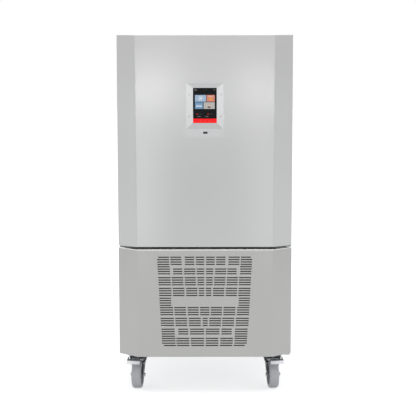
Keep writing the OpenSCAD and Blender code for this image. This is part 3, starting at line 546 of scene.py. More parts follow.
def cutWindow(bm, face, lowX, highX, lowZ, highZ):
    # takes a rectangle out of one upright face
    y = face.calc_center_median().y
    middle = Vector(((lowX + highX) / 2, y, (lowZ + highZ) / 2))

    def level():
        return [f for f in bm.faces if abs(f.calc_center_median().y - y) < 0.01]
    for x in (lowX, highX):
        splitFaces(bm, level(), (x, 0, 0), (1, 0, 0))
    for z in (lowZ, highZ):
        splitFaces(bm, level(), (0, 0, z), (0, 0, 1))
    window = min(level(), key=lambda f: (f.calc_center_median() - middle).length)
    bmesh.ops.delete(bm, geom=[window], context="FACES")


doorForm = {
    "flatWidth": 625,
    "wing": 52,            # how far the wings run back
    "pullLip": 4,          # how far the left side runs back behind its corner
    "foldRadius": 8,
    "cornerRadius": 5,
    "bottomRadius": 4.5,
    "rimRadius": 1.2,
    "rimWidth": 6,
    "rimEnd": 54,          # the rim over the cap stops this far behind the front
    "capDrop": 12,
    "sheet": 1.5,
    "bezelOverlap": (6, 7, 6),   # by which the bezel covers its window: sides, bottom, top
}


def makeDoorSkin():
    form = doorForm
    low, high = boxOf("door_skin")
    pullX = boxOf("door_pull")[1].x - form["sheet"]
    wingY = low.y + form["wing"]
    pullY = wingY + form["pullLip"]
    half = form["flatWidth"] / 2
    plan = [(low.x, pullY), (low.x, wingY), (-half, low.y), (half, low.y), (high.x, wingY),
            (high.x, high.y), (pullX, high.y), (pullX, pullY)]
    bm = foldedPrism(plan, low.z, high.z)
    roundFolds(bm, form, low, high)

    def outside(height):
        edges = outlineEdges(bm, height, high.y)
        return [e for e in edges if min(v.co.y for v in e.verts) < pullY - 0.1]
    roundEdges(bm, outside(low.z), form["bottomRadius"], 8)
    roundEdges(bm, outside(high.z), form["rimRadius"], 3)
    keepStrip(bm, form, low, high, high.z, form["rimWidth"])
    inside = [f for f in bm.faces if f.normal.y > 0.9
              or f.normal.x < -0.9 and f.calc_center_median().x > low.x + 5]
    bmesh.ops.delete(bm, geom=inside, context="FACES")
    cap = high.z - form["capDrop"]
    rimEnd = low.y + form["rimEnd"]
    splitFaces(bm, bm.faces[:], (0, 0, cap), (0, 0, 1))
    splitFaces(bm, bm.faces[:], (0, rimEnd, 0), (0, 1, 0))
    behind = [f for f in bm.faces
              if f.calc_center_median().z > cap and f.calc_center_median().y > rimEnd]
    bmesh.ops.delete(bm, geom=behind, context="FACES")
    front = max((f for f in bm.faces if f.normal.y < -0.99), key=lambda f: f.calc_area())
    bezelLow, bezelHigh = boxOf("display_bezel")
    sides, under, over = form["bezelOverlap"]
    cutWindow(bm, front, bezelLow.x + sides, bezelHigh.x - sides,
              bezelLow.z + under, bezelHigh.z - over)
    lid = bm.faces.new([bm.verts.new((x, y, cap)) for x, y in plan])
    lid.normal_update()
    if lid.normal.z < 0:
        lid.normal_flip()
    # the lid stands inside the skin's thickness, so that the two never share a plane
    ring = bmesh.ops.inset_region(bm, faces=[lid], thickness=form["sheet"], use_even_offset=True,
                                  use_boundary=True)
    bmesh.ops.delete(bm, geom=ring["faces"], context="FACES")
    finishPiece("doorSkin", bm, "door_skin", thickness=form["sheet"], smooth=14)


panelForm = {
    "flatWidth": 625,
    "wing": 74,
    "foldRadius": 8,
    "cornerRadius": 8,
    "lipRadius": 5.5,
    "bottomRadius": 3,
    "flange": 30,
    "sheet": 1.5,
    "slotCorner": 1.2,
}
# a paler copy of the panel's steel: a painted highlight for the top bend of the lower panel
lipPaintedHighlight = brushedSteel("lipPaintedHighlight", (0.72, 0.72, 0.715), rough=(0.19, 0.25), vary=0.02)


def addSlots(bm, low, high):
    # the CAD panel's own slots, with their corners rounded
    source = nodeShape("lower_panel")

    def onFront(vert):
        return abs(vert.co.y - low.y) < 0.05 and low.z + 5 < vert.co.z < high.z - 5
    corners = {}
    for edge in source.edges:
        walls = [f for f in edge.link_faces if abs(f.normal.y) < 0.1]
        if len(walls) == 1 and len(edge.link_faces) == 2 and all(onFront(v) for v in edge.verts):
            for vert in edge.verts:
                if vert not in corners:
                    corners[vert] = bm.verts.new(vert.co)
            bm.edges.new([corners[v] for v in edge.verts])
    source.free()
    bmesh.ops.bevel(bm, geom=list(corners.values()), offset=panelForm["slotCorner"], offset_type="OFFSET",
                    affect="VERTICES", segments=2, profile=0.5, material=-1)
    return [e for e in bm.edges if not e.link_faces]


def makeLowerPanel():
    form = panelForm
    low, high = boxOf("lower_panel")
    wingY = low.y + form["wing"]
    half = form["flatWidth"] / 2
    plan = [(low.x, high.y), (low.x, wingY), (-half, low.y), (half, low.y), (high.x, wingY),
            (high.x, high.y)]
    bm = foldedPrism(plan, low.z, high.z)
    roundFolds(bm, form, low, high)
    roundEdges(bm, outlineEdges(bm, high.z, high.y), form["lipRadius"], 5)
    roundEdges(bm, outlineEdges(bm, low.z, high.y), form["bottomRadius"], 3)
    for height in (high.z, low.z):
        keepStrip(bm, form, low, high, height, form["flange"])
    back = [f for f in bm.faces if f.normal.y > 0.9]
    bmesh.ops.delete(bm, geom=back, context="FACES")
    front = max((f for f in bm.faces if f.normal.y < -0.99), key=lambda f: f.calc_area())
    border = list(front.edges)
    bmesh.ops.delete(bm, geom=[front], context="FACES_ONLY")
    slots = addSlots(bm, low, high)
    filled = bmesh.ops.triangle_fill(bm, edges=list(set(border + slots)), use_beauty=True,
                                     use_dissolve=False, normal=(0, -1, 0))
    for face in filled["geom"]:
        if isinstance(face, bmesh.types.BMFace) and face.normal.y > 0:
            face.normal_flip()
    # the top bend is painted in a paler steel, a painted highlight, down to the flat flange behind it
    for face in bm.faces:
        if 0.1 < face.normal.z < 0.98:
            face.material_index = 1
    finishPiece("lowerPanel", bm, "lower_panel", thickness=form["sheet"], smooth=20,
                looks=[finish["panel_steel"], lipPaintedHighlight])


filterForm = {
    "frame": 8,
    "frameRounding": 0.8,
    "ridge": 9.5,          # from one pleat's ridge to the next
    "front": 1.2,          # the ridges stand this far behind the frame's front
    "back": 5.5,
    "ridgeRounding": 0.6,
    "sheet": 0.6,
}
filterMesh = plainMetal("filterMesh", (0.16, 0.165, 0.17), rough=(0.4, 0.6), scale=700, vary=0.35)


def makeAirFilter():
    form = filterForm
    low, high = boxOf("air_filter")
    bm = bmesh.new()
    edge, rounding = form["frame"], form["frameRounding"]
    addBox(bm, low, (high.x, high.y, low.z + edge), rounding)
    addBox(bm, (low.x, low.y, high.z - edge), high, rounding)
    for x in (low.x, high.x - edge):
        addBox(bm, (x, low.y, low.z + edge), (x + edge, high.y, high.z - edge), rounding)
    finishPiece("filterFrame", bm, "air_filter")

    bm = bmesh.new()
    count = round((high.x - low.x - 2 * edge) / form["ridge"] * 2)
    step = (high.x - low.x - 2 * edge) / count
    row = []
    for i in range(count + 1):
        y = low.y + (form["front"] if i % 2 else form["back"])
        row.append(bm.verts.new((low.x + edge + i * step, y, low.z + edge)))
    edges = [bm.edges.new(pair) for pair in zip(row, row[1:])]
    grown = bmesh.ops.extrude_edge_only(bm, edges=edges)
    lifted = [v for v in grown["geom"] if isinstance(v, bmesh.types.BMVert)]
    bmesh.ops.translate(bm, vec=(0, 0, high.z - low.z - 2 * edge), verts=lifted)
    roundEdges(bm, [e for e in bm.edges if isSharp(e, 20)], form["ridgeRounding"], 2)
    finishPiece("filterPleats", bm, "air_filter", shows=False, slot="galvanised",
                looks=[filterMesh], thickness=form["sheet"])


# the display: bezel, glass, a plain home screen, screws and a socket

screenForm = {
    "lift": 0.12,          # from the glass to the first printed layer, and to each further one
    "corner": 2.8,         # the bezel hides this much of the glass all round
    "bar": 20,
    "tileTop": 32,         # from the top of the screen to the first row
    "tileHeight": 30,
    "tileGap": 2.5,
    "wide": 0.58,          # share of a row that its wider tile takes
    "side": 9,
}
inks = {
    "paleBlue": glowing("inkPaleBlue", (0.38, 0.50, 0.66)),
    "coral": glowing("inkCoral", (0.70, 0.26, 0.18)),
    "sand": glowing("inkSand", (0.50, 0.49, 0.47)),
    "blue": glowing("inkBlue", (0.17, 0.33, 0.52)),
    "white": glowing("inkWhite", (0.86, 0.90, 0.94)),
    "orange": glowing("inkOrange", (0.86, 0.36, 0.10)),
    "brown": glowing("inkBrown", (0.11, 0.085, 0.07)),
    "red": glowing("inkRed", (0.92, 0.008, 0.012), 1.0),
    "grey": glowing("inkGrey", (0.16, 0.16, 0.16)),
    "dim": glowing("inkDim", (0.05, 0.05, 0.05)),
}


def makeScreen():
    form = screenForm
    low, high = boxOf("touch_glass")
    edge = form["corner"]
    left, right = low.x + edge, high.x - edge
    bottom, top = low.z + edge, high.z - edge
    bm = bmesh.new()
    palette = list(inks)

    def facing(x, z, layer, turn):
        # a frame on a printed layer whose Z axis points out of the door
        return (Matrix.Translation((x, low.y - form["lift"] * layer, z))
                @ Matrix.Rotation(math.radians(turn), 4, "Y") @ Matrix.Rotation(math.pi / 2, 4, "X"))

    def patch(x0, z0, x1, z1, colour, layer=1, turn=0):
        place = facing((x0 + x1) / 2, (z0 + z1) / 2, layer, turn) @ Matrix.Diagonal((x1 - x0, z1 - z0, 1, 1))
        made = bmesh.ops.create_grid(bm, x_segments=1, y_segments=1, size=0.5, matrix=place)
        paint(made["verts"], palette.index(colour))

    def dot(x, z, radius, colour, layer=2, steps=20, turn=0):
        made = bmesh.ops.create_circle(bm, cap_ends=True, segments=steps, radius=radius,
                                       matrix=facing(x, z, layer, turn))
        paint(made["verts"], palette.index(colour))

    # the bar below, and the marks above and over the bar
    patch(left, bottom, right, bottom + form["bar"], "red")
    for x in (-20, 0, 20):
        patch(x - 1.5, bottom + 8, x + 1.5, bottom + 10, "coral", 2)
    dot(left + 12, top - 9, 5, "grey", 1)
    dot(left + 12, top - 9, 3.2, "dim")
    patch(right - 15, top - 10.5, right - 7, top - 7.5, "grey")
    patch(-8, top - 9.5, 8, top - 8.5, "dim")
    for x in (left + 16, right - 42):
        patch(x, bottom + 39, x + 5, bottom + 42, "red")
        patch(x + 9, bottom + 39.5, x + 26, bottom + 41.5, "dim")
    for x in (left + 20, 2):
        patch(x, bottom + 28, x + 14, bottom + 31, "grey")

    inner = right - left - 2 * form["side"] - form["tileGap"]
    wide = inner * form["wide"]
    tiles = []
    for row, widths in enumerate(((wide, inner - wide), (inner - wide, wide))):
        z1 = top - form["tileTop"] - row * (form["tileHeight"] + form["tileGap"])
        x = left + form["side"]
        for width in widths:
            tiles.append((x, z1 - form["tileHeight"], x + width, z1))
            x += width + form["tileGap"]
    for tile, colour in zip(tiles, ("paleBlue", "coral", "blue", "sand")):
        patch(*tile, colour)
    middles = [((x0 + x1) / 2, (z0 + z1) / 2) for x0, z0, x1, z1 in tiles]
    # a snow star
    x, z = middles[0]
    for turn in (0, 60, 120):
        patch(x - 10, z - 0.9, x + 10, z + 0.9, "white", 2, turn)
    for turn in range(0, 360, 60):
        reach = Vector((math.cos(math.radians(turn)), math.sin(math.radians(turn)))) * 10
        dot(x + reach.x, z + reach.y, 1.7, "white", 3, 8)
    # a rising sun of heat
    x, z = middles[1]
    dot(x, z - 2, 7, "orange", 2)
    for step in (-1, 0, 1):
        patch(x + step * 8 - 1.2, z + 7, x + step * 8 + 1.2, z + 11, "white", 2, step * 24)
    # three drops in a row
    x, z = middles[2]
    for step in (-1, 0, 1):
        dot(x + step * 9, z - 3, 3.4, "white")
        dot(x + step * 9, z + 1.8, 2.6, "white", 3, 3, -90)
    # a bowl
    x, z = middles[3]
    dot(x, z - 2, 9, "brown", 2, 24)
    patch(x - 10, z - 2, x + 10, z + 8, "sand", 3)
    patch(x - 12, z - 3, x + 12, z - 1.4, "white", 4)
    for step in (-1, 0, 1):
        dot(x + step * 6, z + 2, 2.2, "orange", 5, 12)
    finishPiece("screenPicture", bm, "touch_glass", shows=False, looks=list(inks.values()))


displayForm = {
    "bezelRounding": 0.45,
    "glassRounding": 0.4,
    "socketRounding": 0.25,
    "headRadius": 3.6,
    "screw": [(0, -8), (1.8, -8), (1.8, 0), (3.6, 0), (3.6, 0.3), (3.3, 1.0), (2.6, 1.6), (1.4, 1.95),
              (0, 2)],
    "cross": (4.2, 0.7, 0.9),
    "contacts": 4,
    "usbWall": 1,
}
socketMetal = plainMetal("socketMetal", (0.07, 0.072, 0.075), rough=(0.4, 0.5))
screwSteel = plainMetal("screwSteel", (0.82, 0.82, 0.82), rough=(0.3, 0.4))


def makeDisplay():
    form = displayForm
    softened("displayBezel", "display_bezel", form["bezelRounding"], 2, degrees=10)
    softened("touchGlass", "touch_glass", form["glassRounding"])
    makeScreen()
    low, high = boxOf("bezel_screws")
    bm = bmesh.new()
    radius = form["headRadius"]
    for x in (low.x + radius, high.x - radius):
        for z in (low.z + radius, high.z - radius):
            place = along((x, low.y + 2, z), (x, low.y, z))
            addTurned(bm, form["screw"], place, 20)
            # each cross is a block painted in the darker zinc, painted shade of the cross recess
            for turn in (0, math.pi / 2):
                cross = Matrix.Translation((x, low.y + 0.25, z)) @ Matrix.Rotation(turn, 4, "Y")
                paint(addBlock(bm, cross, form["cross"]), 1)
    finishPiece("bezelScrews", bm, "bezel_screws", looks=[screwSteel, finish["zinc"]])


def makeSocket():
    form = displayForm
    softened("usbShell", "usb_port", form["socketRounding"], looks=[socketMetal])
    low, high = boxOf("usb_port")
    bm = bmesh.new()
    span = (high.x - low.x) * 0.5
    middle = (low + high) / 2
    for i in range(form["contacts"]):
        x = middle.x + span * ((i + 0.5) / form["contacts"] - 0.5)
        addBox(bm, (x - 0.7, low.y + 1.4, middle.z - 0.35), (x + 0.7, low.y + 8, middle.z + 0.1), 0.15, 1)
    finishPiece("usbContacts", bm, "usb_port", shows=False, slot="copper")
    bm = bmesh.new()
    wall = form["usbWall"]
    addBox(bm, (low.x + wall, low.y + 1.2, low.z + wall), (high.x - wall, low.y + 9, high.z - wall), 0.3)
    finishPiece("usbTongue", bm, "usb_port", shows=False, slot="black_plastic")


# casters: each is built about its own swivel axis and then turned as the joints say

casterForm = {
    "plate": (104, 84, 4),
    "plateCorner": 9,
    "raceway": [(0, 0), (22, 0), (27.5, -1), (29, -3.2), (27.5, -5.4), (20, -5.9), (0, -5.9)],
    "kingpin": [(0, 6), (6, 6), (6, -0.4), (10, -0.5), (9.4, -2.2), (6.5, -3.3), (0, -3.6)],
    "bolts": (80, 60),
    "boltRadius": 4,
    "nutRadius": 7,
    "nutAbove": (3, 9.5),              # where the upper nut starts and ends, over the plate
    "washer": (8.4, 1),
    "crown": (140, 149.7),
    "crownRim": [(33, -6), (35.5, -5), (36, -3.4), (34.5, -2), (31, -1.6), (33, -6)],
    "crownDimple": [(6.3, 0.4), (13, 0.2), (15, -1.6), (17, 0.2), (22, 0.4), (6.3, 0.4)],
    "forkRounding": 0.55,
    "legX": (24, 27.5),
    "legBoss": [(15, -0.3), (15, 0), (14.6, 0.6), (12, 0.9), (10.6, 0.9), (10.6, -0.3), (15, -0.3)],
    "rib": 2.6,
    "ribFoot": (7, 16),                # from the hub, to the back and up
    "ribHead": (-14, 102),
    "pedalPin": (38, -24, 133),
    "pedalPinHead": [(0, 1.6), (2.4, 1.3), (4.2, 0), (3, -0.6), (0, -0.6)],
    "treadWidth": 44,
    "treadDepth": 14,
    "treadRound": 8,
    "bore": 5.2,
    "hubRadius": 14,
    "hubFace": 21.4,
    "web": 12,
    "spokes": 6,
    "axleRadius": 5,
    "axleNut": 9,
    "axleWasher": 10.5,
}
# the fork's zinc plate darkened for the outer faces of its legs, a painted shade; the crown plate is the
# brighter plate
forkPaintedShade = plainMetal("forkPaintedShade", (0.1, 0.103, 0.113), rough=(0.24, 0.36))
crownPlate = plainMetal("crownPlate", (0.42, 0.44, 0.47), rough=(0.3, 0.42))
# zinc plate painted paler than the other zinc, a painted highlight on the brake pedals
pedalPaintedHighlight = plainMetal("pedalPaintedHighlight", (0.78, 0.79, 0.82), rough=(0.4, 0.55))
wheelCore = moulded("wheelCore", (0.42, 0.41, 0.44), rough=0.45)


def casterPlace(corner):
    x, y, _ = jointOf["caster_" + corner]["pos_m"]
    axis = jointOf["wheel_" + corner]["axis"]
    turn = Matrix.Rotation(math.atan2(axis[1], axis[0]), 4, "Z")
    return Matrix.Translation((x / mm, y / mm, 0)) @ turn


def wheelCentre(corner):
    local = casterPlace(corner).inverted() @ (Vector(jointOf["wheel_" + corner]["pos_m"]) / mm)
    return Vector((0, local.y, local.z))


def makeCasterMounts(corners):
    form = casterForm
    top = boxOf("caster_plates")[1].z
    boltTop = boxOf("caster_bolts")[1].z
    thick = form["plate"][2]
    under = top - thick
    nut, washer = form["nutRadius"], form["washer"]
    plates = bmesh.new()
    bolts = bmesh.new()

    def rod(at, bottom, end, radius, sides, rounding):
        addRod(bolts, (*at, bottom), (*at, end), radius, sides, rounding)
    for corner in corners:
        x, y = casterPlace(corner).translation.xy
        cornerFaces = addPlate(plates, (x, y, top - thick / 2), form["plate"], form["plateCorner"], 5)
        rims = [e for e in edgesOf([v for f in cornerFaces for v in f.verts])
                if not isUpright(e) and isSharp(e, 50)]
        roundEdges(plates, rims, 0.7, 2)
        addTurned(plates, form["raceway"], Matrix.Translation((x, y, under)), 40)
        addTurned(plates, form["kingpin"], Matrix.Translation((x, y, form["crown"][0])), 24)

        for dx in (-form["bolts"][0] / 2, form["bolts"][0] / 2):
            for dy in (-form["bolts"][1] / 2, form["bolts"][1] / 2):
                at = (x + dx, y + dy)
                rod(at, under - 5, under - 0.9, nut, 6, 0.6)
                rod(at, under - washer[1], under, washer[0], 24, 0.3)
                rod(at, under, boltTop, form["boltRadius"], 16, 0.6)
                rod(at, top + form["nutAbove"][0], top + form["nutAbove"][1], nut, 6, 0.6)
    finishPiece("casterPlates", plates, "caster_plates")
    finishPiece("casterBolts", bolts, "caster_bolts")


def makeFork(corner):
    form = casterForm
    node = "fork_" + corner
    hub = wheelCentre(corner)
    place = casterPlace(corner)
    toLocal = place.inverted()
    innerX, outerX = form["legX"]
    bm = nodeShape(node)
    roundEdges(bm, [e for e in bm.edges if isSharp(e)], form["forkRounding"], 2)
    # the legs' outer faces take the darker plate, a painted shade, and all between them is brighter plate
    for face in bm.faces:
        if abs((toLocal @ face.calc_center_median()).x) < innerX - 1:
            face.material_index = 1
    details = bmesh.new()
    bottom, top = form["crown"]
    addTurned(details, form["crownRim"], Matrix.Translation((0, 0, top)), 56)
    addTurned(details, form["crownDimple"], Matrix.Translation((0, 0, bottom)), 40)
    for side in (-1, 1):
        foot = hub + Vector((side * outerX, *form["ribFoot"]))
        addRod(details, foot, (side * outerX, *form["ribHead"]), form["rib"], 16, 1.2)
        leg = hub + Vector((side * outerX, 0, 0))
        addTurned(details, form["legBoss"], along(leg, leg + Vector((side, 0, 0))), 32)
        if corner.startswith("front"):
            x, y, z = form["pedalPin"]
            addTurned(details, form["pedalPinHead"], along((side * x, y, z), (side * (x + 1), y, z)), 20)
    for face in details.faces:
        face.material_index = 1
    bmesh.ops.transform(details, matrix=place, verts=details.verts)
    joinInto(bm, details)
    finishPiece("forkShell_" + corner, bm, node, looks=[forkPaintedShade, crownPlate])


def makeWheel(corner):
    form = casterForm
    hub = wheelCentre(corner)
    half = form["treadWidth"] / 2
    radius = hub.z
    inner = radius - form["treadDepth"]
    turn = casterPlace(corner) @ along(hub, hub + Vector((1, 0, 0)))

    def bothSides(wall):
        # a closed section of which only the right half is given
        section = wall + [(r, -h) for r, h in wall[::-1]]
        return section + [section[0]]
    bm = bmesh.new()
    bend = form["treadRound"]
    arc = [(radius - bend + bend * math.sin(a), half - bend + bend * math.cos(a))
           for a in (math.pi / 2 * i / 6 for i in range(7))]
    addTurned(bm, bothSides([(inner, half - 1.5), (inner + 1.5, half)] + arc), turn, 72)
    finishPiece("tread_" + corner, bm, "wheel_" + corner)

    bm = bmesh.new()
    hubRadius, face, web = form["hubRadius"], form["hubFace"], form["web"]
    addTurned(bm, bothSides([(form["bore"], face), (hubRadius, face), (hubRadius + 1, web + 1),
                             (hubRadius + 3, web), (inner - 6, web), (inner - 4, web + 1),
                             (inner - 3, half - 2.5), (inner, half - 1.5)]), turn, 48)
    start, end = hubRadius - 1, inner - 2
    for i in range(form["spokes"]):
        spoke = turn @ Matrix.Rotation(math.tau * i / form["spokes"], 4, "Z")
        addBlock(bm, spoke @ Matrix.Translation(((start + end) / 2, 0, 0)),
                 (end - start, 4, form["treadWidth"] - 8), 0.8)
    finishPiece("core_" + corner, bm, "wheel_" + corner, shows=False, looks=[wheelCore])


def makeAxle(corner):
    form = casterForm
    hub = wheelCentre(corner)
    outerX = form["legX"][1]
    bm = bmesh.new()

    def rod(start, end, radius, sides, rounding=0):
        addRod(bm, hub + Vector((start, 0, 0)), hub + Vector((end, 0, 0)), radius, sides, rounding)
    rod(-outerX - 1, outerX + 9, form["axleRadius"], 20, 0.6)
    rod(-outerX - 6, -outerX - 0.9, form["axleNut"], 6, 0.8)
    rod(outerX + 0.6, outerX + 7, form["axleNut"], 6, 0.8)
    for side in (-1, 1):
        rod(side * outerX, side * (outerX + 1), form["axleWasher"], 24, 0.3)
        rod(side * 21.6, side * 21.9, form["axleNut"], 20)
    bmesh.ops.transform(bm, matrix=casterPlace(corner), verts=bm.verts)
    finishPiece("axleBolt_" + corner, bm, "axle_" + corner)


def makeCasters():
    corners = ("front_left", "front_right", "rear_left", "rear_right")
    makeCasterMounts(corners)
    for corner in corners:
        makeFork(corner)
        makeWheel(corner)
        makeAxle(corner)
    for side in ("left", "right"):
        softened("brakePedal_" + side, "brake_front_" + side, 0.9, 3, looks=[pedalPaintedHighlight])


# the back of the door, its seal, its bushes and the hinges

insideForm = {
    "embossRadius": 4,
    "linerRounding": 0.5,
    "pullRounding": 0.35,
    # the seal's section: how far in from its outer edge, and how far out from the door
    "seal": [(2, 0), (2, 2.5), (0.3, 3.5), (0, 6), (0.4, 8.6), (1.8, 10.6), (4, 11.4), (8, 12), (12, 11.4),
             (14.2, 10.6), (15.6, 8.6), (16, 6), (15.7, 3.5), (14, 2.5), (14, 0)],
    "bush": [(5.06, 2), (5.06, -1.5), (6, -1.5), (11, -1.5), (12, -0.7), (12, 0), (8, 0), (8, 15), (7, 16),
             (0, 16), (0, 14), (5.06, 14), (5.06, 2)],
}


def makeSeal():
    low, high = boxOf("door_gasket")
    bm = bmesh.new()
    loops = []
    for inset, out in insideForm["seal"]:
        ring = [bm.verts.new((x, low.y + out, z)) for x, z in (
            (low.x + inset, low.z + inset), (high.x - inset, low.z + inset),
            (high.x - inset, high.z - inset), (low.x + inset, high.z - inset))]
        loops.append([bm.edges.new((a, b)) for a, b in zip(ring, ring[1:] + ring[:1])])
    for one, other in zip(loops, loops[1:] + loops[:1]):
        bmesh.ops.bridge_loops(bm, edges=one + other)
    bmesh.ops.recalc_face_normals(bm, faces=bm.faces)
    finishPiece("doorSeal", bm, "door_gasket", smooth=50)


def makeDoorInside():
    form = insideForm
    bm = nodeShape("door_liner")
    low, high = boxOf("door_liner")
    seatY = boxOf("door_gasket")[0].y

    def soften(test, width, segments):
        edges = [e for e in bm.edges if isSharp(e) and all(test(v.co.y) for v in e.verts)]
        roundEdges(bm, edges, width, segments)
    soften(lambda y: y > high.y - 0.1, form["embossRadius"], 4)
    soften(lambda y: min(abs(y - low.y), abs(y - seatY)) < 0.1, form["linerRounding"], 2)
    finishPiece("doorLiner", bm, "door_liner")
    makeSeal()
    softened("doorPull", "door_pull", form["pullRounding"])


def makeDoorBushes():
    section = insideForm["bush"]
    low, high = boxOf("door_bushes")
    x, y = (low.x + high.x) / 2, (low.y + high.y) / 2
    bm = bmesh.new()
    addTurned(bm, section, Matrix.Translation((x, y, low.z)), 40)
    addTurned(bm, section, Matrix.Translation((x, y, high.z)) @ Matrix.Diagonal((1, 1, -1, 1)), 40)
    finishPiece("doorBushes", bm, "door_bushes")


hingeForm = {
    "rounding": 0.6,
    "screwX": 384,
    "screwRadius": 5,
    "topScrews": (14, 36),       # behind the front frame
    "middleScrews": (8, 26),     # above the door's lower edge
    "bottomScrews": (-5, 4),     # beside the hinge's middle
    "smallRadius": 3,
    "bracket": 3,                # its thickness
}


def makeHinges():
    form = hingeForm
    softened("hingeBrackets", "hinge_brackets", form["rounding"])
    low, high = boxOf("hinge_screws")
    front = boxOf("front_frame")[0].y
    face = front - form["bracket"]
    top = boxOf("hinge_brackets")[1].z
    bottom = boxOf("door_skin")[0].z
    x, radius = form["screwX"], form["screwRadius"]
    bm = bmesh.new()
    for back in form["topScrews"]:
        addScrew(bm, (x, front + back, top), (0, 0, 1), radius, high.z - top)
    for lift in form["middleScrews"]:
        addScrew(bm, (x, face, bottom + lift), (0, -1, 0), radius, 2)
    for dx in form["bottomScrews"]:
        addScrew(bm, (x + dx, face, low.z + 3), (0, -1, 0), form["smallRadius"], 2)
    finishPiece("hingeScrews", bm, "hinge_screws")


# the cabinet

cabinetForm = {
    "edge": 0.6,
    "slotRadius": 3.2,
    "slotHeights": (280, 600),   # the rear grille's slots lie between these
    "grilleMargin": 20,
    "linerRadius": 9,
    "screwRadius": 4.5,
    "screwHeight": 2.4,
    "screwInset": 9,
    "screwGap": 148,
    "rowEnd": 260,
    "seamOffset": 12,            # from a sheet's edge to its row of screws
    "spacerRadius": 20,
}


def makeCabinet():
    for name, node in (("leftSide", "side_panel_left"), ("rightSide", "side_panel_right"),
                       ("topPanel", "top_panel"), ("backPanel", "back_panel"),
                       ("frontFrame", "front_frame"), ("baseTray", "base_chassis")):
        softened(name, node, cabinetForm["edge"])


def makeRearGrille():
    form = cabinetForm
    bm = nodeShape("rear_grille")
    low, high = boxOf("rear_grille")
    margin = form["grilleMargin"]
    slotLow, slotHigh = form["slotHeights"]

    def crossesSlot(edge):
        a, b = (v.co for v in edge.verts)
        inSlot = low.x + margin < a.x < high.x - margin and slotLow < a.z < slotHigh
        return inSlot and abs(a.y - b.y) > 1
    across = [e for e in bm.edges if isSharp(e, 60) and crossesSlot(e)]
    roundEdges(bm, across, form["slotRadius"], 4)
    finishPiece("rearGrille", bm, "rear_grille")


def makeCabinetScrews():
    # rows of screws along the seams of the rear grille and of the back panel above it
    form = cabinetForm
    low, high = boxOf("rear_grille")
    bm = bmesh.new()

    def screwRow(x0, z0, x1, z1):
        start, end = Vector((x0, high.y, z0)), Vector((x1, high.y, z1))
        count = max(1, round((end - start).length / form["screwGap"]))
        for i in range(count + 1):
            addScrew(bm, start.lerp(end, i / count), (0, 1, 0), form["screwRadius"], form["screwHeight"], 14)
    inset, off, rowEnd = form["screwInset"], form["seamOffset"], form["rowEnd"]
    backTop = boxOf("back_panel")[1].z
    for x in (low.x + inset, high.x - inset):
        screwRow(x, low.z + off + 2, x, high.z - off)
        screwRow(x, high.z + off, x, backTop - off)
    for z in (high.z - off, high.z + off, backTop - off):
        screwRow(-rowEnd, z, rowEnd, z)
    finishPiece("cabinetScrews", bm, "back_panel", shows=False, slot="zinc")


def makeWallSpacers():
    bm = bmesh.new()
    low, high = boxOf("wall_spacers")
    deep = high.y - low.y
    radius = cabinetForm["spacerRadius"]
    section = [(0, 0), (radius, 0), (radius, 2), (17.5, 4), (16.5, deep - 2), (14.5, deep), (8, deep),
               (6.5, deep - 1), (6.5, 4), (0, 4)]
    for x in (low.x + radius, high.x - radius):
        for z in (low.z + radius, high.z - radius):
            addTurned(bm, section, along((x, low.y, z), (x, high.y, z)), 40)
            addScrew(bm, (x, low.y + 4, z), (0, 1, 0), 4.6, 2.6, 16)
    finishPiece("wallSpacers", bm, "wall_spacers")


# the chamber: liner, rack, evaporator panel with its fans, and the coil behind

rackForm = {
    "postSize": 12,
    "postRounding": 1.6,
    "studNeck": (1.6, 1.2),      # radius and length
    "studHead": (3.5, 1.4),
    "studDrop": 14,              # below each runner
    "levels": 10,
    "pitch": 76,
    "runnerWidth": 22,
    "lip": 3,
    "sheet": 1.5,
}


def makeChamber():
    low, high = boxOf("inner_liner")
    bm = nodeShape("inner_liner")

    def inside(co):
        return abs(co.x) < high.x - 1 and co.y < high.y - 1 and low.z + 1 < co.z < high.z - 1
    corners = [e for e in bm.edges if isSharp(e, 60) and all(inside(v.co) for v in e.verts)
               and not all(v.co.y < low.y + 0.5 for v in e.verts)
               and e.calc_length() > 100]
    roundEdges(bm, corners, cabinetForm["linerRadius"], 5)
    finishPiece("chamberLiner", bm, "inner_liner")


def makeRack():
    form = rackForm
    low, high = boxOf("rack_posts")
    runnerLow, runnerHigh = boxOf("tray_runners")
    levels = [runnerLow.z + i * form["pitch"] for i in range(form["levels"])]
    posts = bmesh.new()
    runners = bmesh.new()
    post, wide, sheet = form["postSize"], form["runnerWidth"], form["sheet"]
    neck, reach = form["studNeck"]
    head, thick = form["studHead"]
    for side in (-1, 1):
        x = low.x if side < 0 else high.x - post
        face = x + post if side < 0 else x
        for y in (low.y, high.y - post):
            addBox(posts, (x, y, low.z), (x + post, y + post, high.z), form["postRounding"], 3)
            for level in levels:
                start = Vector((face, y + post / 2, level - form["studDrop"]))
                middle = start - Vector((side * reach, 0, 0))
                addRod(posts, start, middle, neck, 12)
                addRod(posts, middle, middle - Vector((side * thick, 0, 0)), head, 16, 0.5)
        x = runnerLow.x if side < 0 else runnerHigh.x - wide
        for z in levels:
            lip = z + form["lip"]
            addBox(runners, (x, runnerLow.y, z), (x + wide, runnerHigh.y, z + sheet), 0.4, 1)
            for edge in (x, x + wide - sheet):
                addBox(runners, (edge, runnerLow.y, z), (edge + sheet, runnerHigh.y, lip), 0.5)
            addBox(runners, (x, runnerHigh.y - sheet, z), (x + wide, runnerHigh.y, lip), 0.5)
    finishPiece("rackPosts", posts, "rack_posts")
    finishPiece("trayRunners", runners, "tray_runners")


guardForm = {
    "panelRounding": 5,
    "mouth": 130,
    "rings": (42, 60, 78, 96, 114),
    "wire": 1.9,
    "spokeStart": 24,
    "spokes": (45, 135, 225, 315),
    "screws": range(30, 390, 60),
    "screwOut": 7,               # beyond the guard's edge
}


